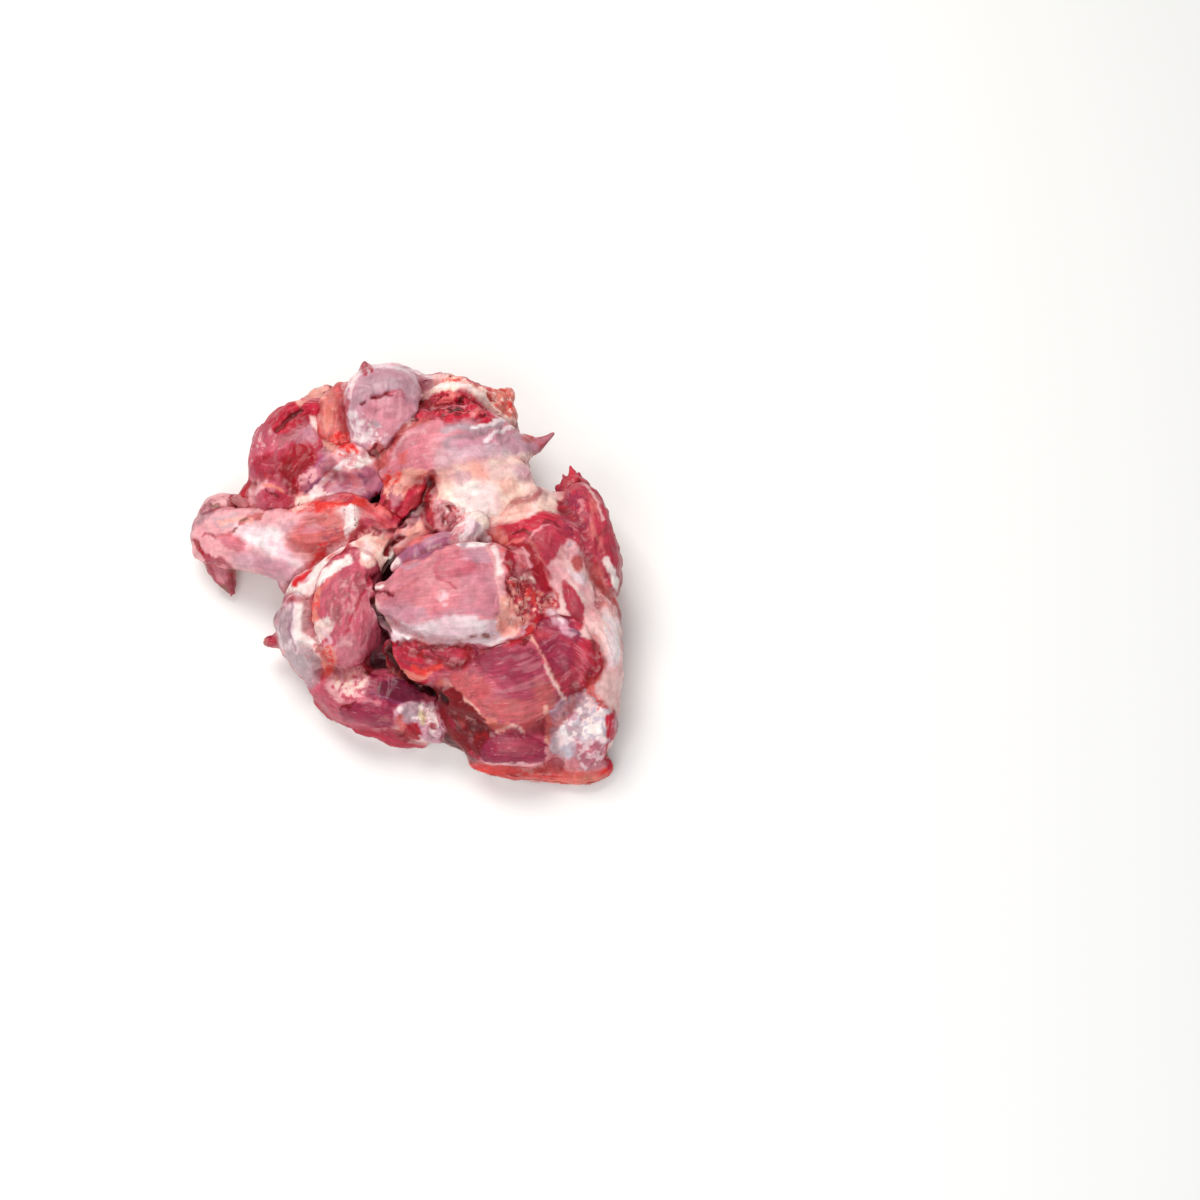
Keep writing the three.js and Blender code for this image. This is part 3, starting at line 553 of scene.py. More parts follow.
# The flap that reaches out to the left, with the fat at its root
flap = {
    "name": "flap",
    "voxel": 0.92,
    "blend": 4,
    "facets": (18, 0.09),
    "lobes": {
        "flap": lobe("palePink", [(-155, 28, 18), (-134, 27, 30), (-103, 19, 40), (-69, 9, 48), (-42, 15, 54)],
            [20, 21, 22, 24, 18], [9, 12, 14, 15, 14], full=0.5, square=0.8, lean=14),
        "flapFold": lobe("palePink", [(-150, 40, 20), (-134, 45, 27), (-114, 46, 32)], [9, 10, 9], [8, 9, 8]),
        "flapCorner": lobe("rosePink", [(-85, 11, 34), (-79, -7, 34), (-65, -15, 36)], [9, 11, 9], [12, 12, 10]),
        "flapRed": lobe("coralFlesh", [(-89, 23, 52), (-64, 20, 60), (-39, 26, 62), (-18, 23, 57)], [14, 18, 17, 13],
            [10, 12, 12, 10], full=0.7, square=0.85),
        "flapTip": lobe("duskyLean", [(-145, 27, 18), (-135, 12, 12), (-126, -6, 5)], [10, 10, 5], [8, 9, 5],
            full=0.7),
        "rootRed": lobe("coralFlesh", [(-40, 33, 56), (-20, 24, 60), (-2, 15, 58)], [11, 12, 10], [11, 13, 11]),
        "oval": lobe("whiteFat", [(-37, 37, 70), (-38, 24, 73), (-36, 13, 68)], [5, 6, 5], [4, 4, 4]),
        "bandWhite": lobe("whiteFat", [(-29, 5, 64), (-48, -14, 62), (-69, -28, 54), (-80, -49, 42)], [7, 9, 10, 9],
            [8, 9, 9, 9], full=0.7),
        "block": lobe("creamFat", [(-33, 6, 62), (-11, -8, 60)], [13, 12], [10, 10], full=0.5, square=0.7),
    },
    "marks": {
        "flapTop": mark("palePink", [188, 530, 202, 517, 223, 511, 245, 510, 278, 511, 299, 514, 322, 511, 338, 522,
            333, 537, 322, 556, 309, 558, 306, 584, 278, 586, 264, 578, 257, 567, 241, 569, 226, 561, 204, 556,
            194, 548]),
        "flapWhite": mark("whiteFilm", [234, 524, 250, 521, 272, 524, 284, 534, 282, 548, 300, 562, 312, 570,
            306, 574, 278, 560, 254, 548, 238, 538], soft=13),
        "flapWhiteCore": mark("paleFilm", [246, 530, 262, 532, 274, 543, 288, 556], width=8, soft=8, share=0.8),
        "flapWhiteB": mark("palePink", [224, 516, 262, 514, 290, 518, 282, 527, 244, 524], soft=9, share=0.7),
        "flapLilacA": mark("lilacFilm", [276, 522, 300, 520, 298, 531, 280, 533], soft=7, share=0.6),
        "flapLilacB": mark("greyFat", [214, 518, 234, 514, 236, 525, 218, 529], soft=5, share=0.7),
        "flapRimLeft": mark("ashFilm", [188, 546, 190, 531, 200, 520, 214, 514], width=7, share=0.7),
        "flapOrange": mark("salmonLean", [241, 524, 250, 519, 262, 517], width=5, share=0.9),
        "flapOrangeB": mark("peachFat", [222, 524, 236, 520, 250, 521], width=5, share=0.7),
        "flapMarkA": mark("brown", [240, 523, 247, 520], width=3),
        "flapMarkB": mark("brown", [231, 534, 238, 530], width=3),
        "flapMuscle": mark("rosePink", [219, 536, 234, 534, 247, 544, 240, 551, 223, 547], soft=5),
        "flapLower": mark("lilacFilm", [232, 556, 258, 552, 284, 562, 302, 574, 298, 584, 272, 582, 256, 568,
            238, 568], soft=9, share=0.75),
        "flapSlitA": mark("duskyLean", [200, 536, 206, 533, 216, 538], width=2.6, lift=-1.2),
        "flapSlitC": mark("salmonLean", [216, 538, 228, 535, 240, 541], width=2.4, share=0.6),
        "flapSlitB": mark("crimson", [195, 540, 201, 550, 208, 558], width=5, lift=-1),
        "flapNub": mark("palePink", [205, 543, 214, 541, 219, 548, 212, 553, 206, 550], share=0.9, soft=6),
        "flapTip": mark("duskyLean", [205, 556, 228, 559, 234, 575, 232, 586, 225, 598, 216, 590, 206, 573]),
        "flapTipPink": mark("rosePink", [211, 560, 226, 562, 230, 576, 222, 586, 214, 574], cover=0.5, grit=5,
            stretch=(2, 1, 1)),
        "flapTipEnd": mark("brown", [215, 588, 226, 590, 224, 600], width=7),
        "flapRed": mark("salmonLean", [286, 536, 299, 522, 321, 511, 341, 515, 340, 534, 330, 552, 312, 560,
            296, 552], soft=13),
        "flapRedTop": mark("blood", [312, 503, 322, 498, 345, 497, 362, 500, 366, 508, 350, 506, 330, 508, 318, 512],
            soft=5),
        "flapRedStroke": mark("redLean", [322, 500, 334, 498, 352, 500], width=4, soft=4, share=0.8),
        "flapRedDark": mark("duskyLean", [322, 528, 334, 524, 338, 534, 326, 546], cover=0.5, grit=4),
        "flapRose": mark("rosePink", [290, 538, 310, 524, 322, 528, 316, 548, 300, 552], share=0.8, soft=9, cover=0.5,
            grit=6, stretch=(3, 1, 1)),
        "bloodSpot": mark("brightBlood", [316, 552, 321, 544, 329, 543, 331, 552, 325, 560, 318, 560], soft=3),
        "bloodA": mark("brightBlood", [297, 587, 306, 574, 315, 563, 323, 554, 327, 544], width=5, soft=3),
        "bloodALine": mark("coralFlesh", [330, 560, 342, 549, 352, 536, 362, 522], width=5),
        "bloodB": mark("redLean", [345, 552, 355, 538, 364, 524, 372, 520], width=6, soft=4),
        "bloodC": mark("blood", [362, 502, 368, 510, 378, 518, 389, 526], width=7, soft=4, share=0.9),
        "bloodCPale": mark("rosePink", [328, 499, 348, 494, 360, 498], width=4, share=0.6),
        "bloodDark": mark("redLean", [352, 508, 362, 520, 378, 530, 392, 540, 388, 552, 378, 546, 362, 534],
            cover=0.5, grit=4),
        "filmRed": mark("roseLean", [352, 516, 362, 506, 378, 512, 402, 524, 398, 540, 376, 534], share=0.5, soft=5),
        "whiteBits": mark("whiteFat", [328, 552, 334, 546, 348, 544, 344, 552, 333, 556], crumb=0.5),
        "oval": mark("whiteFat", [345, 508, 350, 504, 356, 506, 358, 516, 354, 528, 348, 537, 344, 534, 345, 522],
            lift=0.5, soft=3),
        "band": mark("whiteFat", [296, 603, 306, 590, 315, 577, 330, 567, 344, 557, 353, 559, 340, 569, 322, 584,
            310, 600], soft=3),
        "bandPink": mark("coralFlesh", [310, 604, 322, 588, 338, 573], width=4, share=0.6),
        "block": mark("creamFat", [355, 545, 366, 537, 386, 536, 388, 546, 382, 556, 373, 567, 364, 568, 358, 556],
            lift=0.6),
        "blockPeach": mark("peachFat", [374, 538, 388, 536, 388, 548, 378, 550], cover=0.5),
        "blockWhite": mark("whiteFat", [360, 548, 368, 542, 372, 556, 364, 564], share=0.8),
        "blockBit": mark("whiteFat", [383, 559, 393, 553, 401, 564, 390, 571], lift=0.6),
    },
}
growPiece(flap)

# The near left: a long muscle with fat outside it, and the base under both
nearLeft = {
    "name": "nearLeft",
    "voxel": 0.95,
    "blend": 4.5,
    "facets": (19, 0.08),
    "lobes": {
        "leftLow": lobe("roseLean", [(-24, 2, 58), (-38, -31, 62), (-38, -58, 57), (-40, -80, 40)], [13, 22, 23, 16],
            [16, 22, 23, 17], full=0.7, square=0.85),
        "leftLowRim": lobe("redLean", [(-25, -35, 55), (-24, -56, 53), (-30, -74, 41)], [8, 10, 9], [14, 16, 12]),
        "leftLowFoot": lobe("roseLean", [(-57, -76, 36), (-40, -71, 41), (-23, -64, 43)], [9, 10, 8], [9, 10, 8],
            full=0.7),
        "outerFat": lobe("greyFat", [(-59, -11, 46), (-71, -35, 38), (-74, -57, 30), (-59, -85, 18)],
            [10, 13, 13, 11], [16, 24, 23, 15], full=0.7),
        "greyFat": lobe("greyFat", [(-76, -27, 32), (-82, -47, 24), (-75, -67, 14)], [7, 8, 8], [14, 15, 11]),
        "redBit": lobe("redLean", [(-100, -50, 20), (-87, -53, 24)], [4, 5], [4, 5], full=0.6),
        "lumpLeft": lobe("whiteFat", [(-66, -50, 47), (-62, -54, 51), (-58, -57, 49)], [4, 5, 4], [4, 5, 4],
            full=0.6),
        "lumpRight": lobe("whiteFat", [(-57, -48, 52), (-52, -51, 55), (-48, -55, 52)], [4, 5, 4], [4, 5, 4],
            full=0.6),
        "footFold": lobe("orangeFlesh", [(-57, -62, 44), (-50, -68, 48), (-40, -68, 47)], [5, 6, 5], [5, 6, 5],
            full=0.7),
        "lumps": lobe("pinkFat", [(-68, -53, 48), (-59, -64, 48), (-56, -73, 42)], [7, 7, 6], [6, 6, 6]),
        "base": lobe("roseLean", [(-66, -80, 16), (-34, -94, 25), (-2, -102, 25), (31, -111, 16)], [13, 20, 19, 14],
            [14, 20, 20, 13], full=0.7),
        "baseStrip": lobe("redLean", [(-63, -87, 8), (-17, -108, 8), (19, -121, 6)], [12, 13, 10], [10, 10, 7],
            full=0.7),
        "whiteLump": lobe("pinkFat", [(-4, -108, 24), (13, -114, 24), (31, -119, 14)], [10, 13, 10], [9, 11, 9],
            full=0.7),
    },
    "marks": {
        "leftLow": mark("roseLean", [317, 602, 330, 582, 350, 566, 363, 570, 374, 572, 380, 580, 376, 592, 376, 612,
            384, 632, 382, 650, 370, 664, 350, 669, 339, 653, 331, 640, 326, 618]),
        "leftLowGlow": mark("rosePink", [352, 594, 366, 590, 370, 612, 364, 640, 352, 644, 346, 620], share=0.3,
            soft=9),
        "leftLowDark": mark("duskyLean", [326, 604, 340, 584, 356, 572, 370, 576, 362, 598, 346, 628, 334, 622],
            cover=0.6, grit=4, stretch=(2.5, 1, 1)),
        "leftLowSpecks": mark("pinkFat", [322, 604, 350, 574, 368, 576, 362, 600, 346, 636, 334, 622], cover=0.12,
            grit=2.6, share=0.3),
        "leftLowRight": mark("roseLean", [364, 600, 376, 602, 383, 634, 374, 656, 354, 662, 350, 636], soft=7,
            share=0.6),
        "leftLowFold": mark("crimson", [372, 576, 364, 592, 352, 618, 344, 636], width=3, lift=-0.7, share=0.8),
        "leftLowRim": mark("rosePink", [366, 604, 370, 622, 366, 644, 352, 658], width=6, soft=5, share=0.7),
        "leftLowPlum": mark("darkLean", [374, 580, 376, 600, 382, 630, 380, 652], width=5, share=0.8, soft=5),
        "leftLowMarbling": mark("palePink", [326, 600, 350, 575, 374, 586, 374, 630, 350, 652, 338, 640], cover=0.15,
            grit=2.6, stretch=(3, 1, 1), share=0.4),
        "orangeLine": mark("orangeFlesh", [318, 590, 313, 602, 312, 616, 318, 626], width=7, soft=4),
        "orangeDots": mark("blood", [311, 598, 319, 596, 320, 614, 312, 616], cover=0.5, grit=2.6),
        "outerFat": mark("paleFilm", [288, 596, 308, 597, 304, 630, 298, 654, 292, 645, 284, 648, 274, 634, 277, 616],
            soft=5),
        "outerWhite": mark("whiteFat", [300, 598, 312, 592, 308, 620, 304, 650, 296, 640, 297, 615], soft=7,
            share=0.9),
        "outerBlue": mark("ashFilm", [276, 622, 288, 608, 291, 632, 284, 645], soft=6, share=0.8),
        "outerLine": mark("deepPurple", [293, 600, 290, 618, 290, 634, 296, 650], width=2.5, share=0.6, lift=-0.8),
        "outerLower": mark("greyFat", [296, 640, 308, 640, 318, 664, 320, 684, 306, 668], soft=5, share=0.8),
        "lumpA": mark("pinkFat", [312, 626, 318, 620, 328, 618, 333, 628, 326, 638, 316, 638], crumb=1.2, share=0.9),
        "lumpB": mark("whiteFat", [302, 632, 312, 628, 320, 636, 318, 644, 306, 646], crumb=1),
        "lumpC": mark("whiteFat", [318, 618, 330, 616, 334, 628, 324, 634], cover=0.5, grit=2.6, share=0.5),
        "lumpShade": mark("paleFilm", [322, 632, 330, 640, 324, 648], width=4, share=0.6),
        "lumpSpot": mark("salmonLean", [308, 640, 322, 640, 326, 652, 314, 654], cover=0.5, grit=2.8, share=0.8),
        "redTag": mark("redLean", [267, 633, 274, 632, 276, 644, 268, 646]),
        "redTagRim": mark("pinkLean", [266, 634, 266, 646, 276, 648, 284, 652], width=3, share=0.8),
        "foot": mark("orangeFlesh", [321, 649, 329, 644, 336, 650, 336, 664, 330, 675, 322, 671], share=0.85),
        "footPink": mark("peachFat", [324, 650, 331, 646, 334, 656, 328, 664], share=0.5, soft=6),
        "footSpot": mark("blood", [326, 650, 330, 662, 327, 673], cover=0.7, width=7),
        "footRose": mark("rosePink", [338, 636, 352, 634, 360, 646, 356, 660, 344, 668, 338, 654], soft=8, share=0.7),
        "footPale": mark("palePink", [334, 650, 342, 642, 350, 644], width=5, soft=4, share=0.8),
        "basePale": mark("palePink", [326, 684, 336, 672, 352, 668, 368, 671, 372, 682, 364, 694, 348, 702, 336, 699],
            soft=5),
        "baseMottle": mark("roseLean", [330, 681, 350, 672, 368, 674, 366, 694, 345, 702], cover=0.4, grit=2.6),
        "baseCream": mark("creamFat", [332, 678, 352, 670, 368, 674, 356, 692, 340, 694], cover=0.55, grit=2.6,
            crumb=0.5),
        "baseStreak": mark("deepRed", [366, 672, 374, 676, 380, 682], width=3.5),
        "baseRight": mark("darkLean", [370, 676, 392, 678, 404, 690, 400, 706, 376, 706, 366, 696], soft=6),
        # painted shade at the foot of the crevice
        "baseCreviceShade": mark("plumShade", [378, 684, 392, 676, 412, 684, 424, 696, 412, 706, 390, 702, 380, 694],
            share=0.8, soft=10),
        # painted shade: near black in the deep crevice
        "creviceDeep": mark("gapShade", [382, 622, 388, 628, 393, 640, 393, 655, 398, 664, 392, 670, 384, 664, 381, 650,
            383, 636], soft=5, lift=-2),
        "baseGleam": mark("deepPurple", [372, 694, 388, 700, 402, 704], width=3, share=0.8),
        "strip": mark("darkLean", [339, 710, 361, 702, 380, 706, 394, 710, 392, 727, 380, 731, 361, 723, 344, 719]),
        "stripPink": mark("rosePink", [346, 704, 362, 700, 378, 704], width=4, share=0.6),
        "stripLine": mark("deepRed", [342, 708, 357, 702], width=2.5),
        "stripPurple": mark("duskyLean", [374, 714, 386, 714, 390, 722, 378, 724], cover=0.5),
        "whiteLump": mark("lilacFilm", [394, 709, 417, 701, 436, 705, 443, 718, 447, 735, 437, 744, 422, 738,
            416, 726, 403, 725, 394, 718], crumb=0.8),
        "whiteLumpWhite": mark("whiteFat", [398, 708, 418, 703, 434, 710, 440, 724, 434, 736, 424, 728, 408, 718],
            cover=0.5),
        "whiteLumpLilac": mark("greyFilm", [402, 708, 416, 705, 418, 716, 404, 719]),
        "whiteLumpYellow": mark("yellowFat", [420, 709, 427, 712, 426, 724, 420, 722], soft=3, share=0.7),
        "whiteLumpSpot": mark("duskyLean", [428, 722, 436, 723, 435, 730, 429, 729], soft=3),
        "whiteLumpRed": mark("crimson", [400, 724, 417, 724, 420, 738, 408, 742, 401, 734]),
        "whiteLumpOrange": mark("coralFlesh", [395, 714, 402, 716, 404, 730, 398, 730]),
    },
}
growPiece(nearLeft)

# The middle: a smooth pillow of muscle with its pale lip
middle = {
    "name": "middle",
    "voxel": 0.92,
    "blend": 3,
    "facets": (20, 0.05),
    "lobes": {
        "pillow": lobe("pinkLean", [(-22, -41, 71), (4, -43, 80), (38, -43, 84), (67, -38, 79), (85, -41, 68)],
            [7, 25, 34, 34, 22], [5, 12, 16, 14, 10], full=0.72, square=0.8, lean=8),
        "lipFill": lobe("paleFilm", [(6, -58, 66), (38, -64, 70), (72, -64, 68), (92, -56, 64)], [10, 14, 16, 12],
            [8, 10, 10, 8], full=0.6, square=0.85),
        "lip": lobe("paleFilm", [(-21, -47, 69), (0, -67, 68), (31, -78, 68), (62, -80, 65), (82, -70, 66),
            (97, -50, 67)], [3.5, 6, 9, 9, 6, 3.5], [4, 5, 6, 6, 5, 4]),
        "purpleVein": lobe("purple", [(-8, -19, 71), (16, -10, 78), (41, 3, 78)], [8, 13, 9], [5, 7, 6]),
        "cartilage": lobe("whiteFilm", [(37, -7, 76), (46, 5, 81), (58, 17, 77)], [8, 9, 8], [7, 7, 6], full=0.7),
        "creamTab": lobe("pinkFat", [(-8, 10, 60), (5, 15, 63), (18, 20, 64)], [5, 7, 6], [5, 6, 5], full=0.6),
        "centreFill": lobe("redLean", [(-14, 8, 50), (6, 12, 54), (26, 22, 56), (44, 30, 58)], [14, 16, 16, 14],
            [10, 12, 13, 12], full=0.7),
        "crumbs": lobe("coralFlesh", [(20, 16, 69), (38, 29, 71)], [11, 11], [8, 8], full=0.5),
        "underCrumbs": lobe("redLean", [(25, 31, 56), (45, 15, 58), (67, 3, 58)], [12, 20, 14], [16, 20, 18]),
    },
    "marks": {
        "pillow": mark("rosePink", [374, 600, 378, 590, 388, 574, 402, 566, 432, 560, 462, 546, 494, 545, 500, 566,
            506, 590, 500, 620, 480, 616, 436, 616, 398, 614, 380, 610]),
        "pillowSalmon": mark("roseLean", [436, 558, 452, 551, 470, 556, 474, 572, 452, 580, 432, 574], share=0.7,
            soft=9),
        "pillowWarm": mark("pinkLean", [404, 590, 440, 580, 480, 582, 486, 604, 440, 612, 404, 608], soft=12,
            share=0.8),
        "pillowLeft": mark("rosePink", [384, 586, 408, 570, 430, 570, 420, 590, 396, 600], share=0.5, soft=8,
            cover=0.7, grit=7),
        "pillowLilac": mark("lilacFilm", [462, 556, 466, 549, 490, 547, 492, 562, 472, 564], soft=6, share=0.8),
        "pillowPurple": mark("lilacFilm", [464, 575, 488, 570, 498, 592, 490, 612, 462, 608, 456, 592], soft=10,
            share=0.4),
        "pillowFold": mark("salmonLean", [384, 598, 402, 588, 420, 578], width=3.5, soft=4, share=0.6, lift=-0.6),
        "pillowCrack": mark("redLean", [436, 577, 449, 582, 456, 589], width=2.2, lift=-0.6, share=0.8),
        "greyPatch": mark("lilacFilm", [376, 607, 391, 602, 411, 604, 426, 611, 429, 620, 406, 624, 390, 620], soft=7,
            share=0.7),
        "pillowDull": mark("duskyRose", [384, 596, 404, 588, 420, 592, 410, 606, 390, 606], soft=8, share=0.6),
        "lip": mark("paleFilm", [373, 609, 391, 620, 412, 624, 433, 620, 455, 615, 473, 614, 483, 618, 501, 624,
            501, 642, 482, 645, 460, 639, 447, 647, 423, 642, 399, 635, 380, 622], soft=6),
        "lipEdge": mark("whiteFilm", [374, 610, 386, 626, 403, 636, 424, 641, 446, 645, 460, 638, 480, 644, 500, 641,
            514, 634], width=4, lift=0.5),
        "lipCorner": mark("rosePink", [500, 643, 512, 638, 522, 630, 533, 620], width=3.6, lift=0.5),
        "lipShade": mark("lilacFilm", [428, 618, 452, 612, 472, 610, 488, 614], width=6, share=0.5, soft=5),
        "lipSpotA": mark("brown", [471, 636, 476, 636], width=3),
        "lipSpotB": mark("brown", [483, 637, 488, 636], width=3),
        "notch": mark("deepRed", [375, 592, 383, 592, 393, 595], width=3, lift=-2.2),
        "notchTip": mark("whiteFat", [376, 589, 384, 586], width=4),
        "tipRim": mark("pinkFat", [375, 600, 380, 612, 390, 624], width=4),
        "purpleVein": mark("purple", [404, 560, 412, 550, 420, 544, 430, 537, 438, 532, 446, 531, 452, 537, 448, 545,
            437, 550, 430, 557, 418, 561]),
        "veinCore": mark("deepPurple", [420, 553, 426, 551, 431, 550], width=5, soft=5, share=0.8),
        "veinPale": mark("lilacFilm", [428, 541, 438, 536, 446, 534], width=6, soft=4, share=0.6),
        "veinUnder": mark("lilacFilm", [396, 566, 408, 567, 418, 564], width=3),
        "veinOver": mark("orangeFlesh", [398, 552, 412, 542, 428, 533], width=4, share=0.7),
        "veinOverRose": mark("coralFlesh", [404, 546, 416, 536, 432, 528, 440, 530, 424, 540], share=0.8),
        "veinRight": mark("rosePink", [446, 548, 452, 536, 458, 532, 458, 548]),
        "creamTab": mark("peachFat", [402, 538, 407, 530, 415, 524, 423, 524, 425, 531, 419, 536, 408, 541],
            crumb=0.4),
        "tabGrey": mark("greyFilm", [411, 514, 419, 512, 420, 520, 412, 524], soft=3, share=0.9),
        "redSeam": mark("deepRed", [371, 526, 380, 530, 396, 531], width=3.4),
        "darkSlit": mark("deepRed", [386, 555, 390, 547, 397, 541, 403, 538], width=6, lift=-2.5, soft=2.4),
        "cartilage": mark("whiteFilm", [457, 545, 459, 527, 468, 518, 478, 520, 484, 532, 492, 540, 484, 546,
            464, 548], soft=3),
        "cartilageLilac": mark("greyFilm", [477, 524, 474, 532, 467, 539, 462, 546], width=6, soft=4),
        "cartilageBlue": mark("whiteFat", [484, 538, 488, 545], width=5, share=0.8),
        "crumbs": mark("palePink", [434, 500, 446, 500, 458, 508, 464, 518, 462, 532, 446, 532, 436, 524], crumb=1.0),
        "crumbsWhite": mark("whiteFat", [440, 506, 456, 504, 468, 514, 466, 532, 446, 530], cover=0.42, grit=2.8,
            crumb=1.0),
        "crumbsRedBits": mark("blood", [450, 508, 462, 510, 464, 520, 454, 520], cover=0.3, grit=2.6),
        "crumbsHole": mark("deepRed", [441, 516, 446, 514, 446, 524, 442, 526]),
        "crumbsHoleB": mark("deepRed", [447, 508, 451, 511], width=3),
        "pillowGleam": mark("paleFilm", [436, 596, 442, 592, 450, 598, 444, 606], cover=0.35, share=0.6),
    },
}
growPiece(middle)

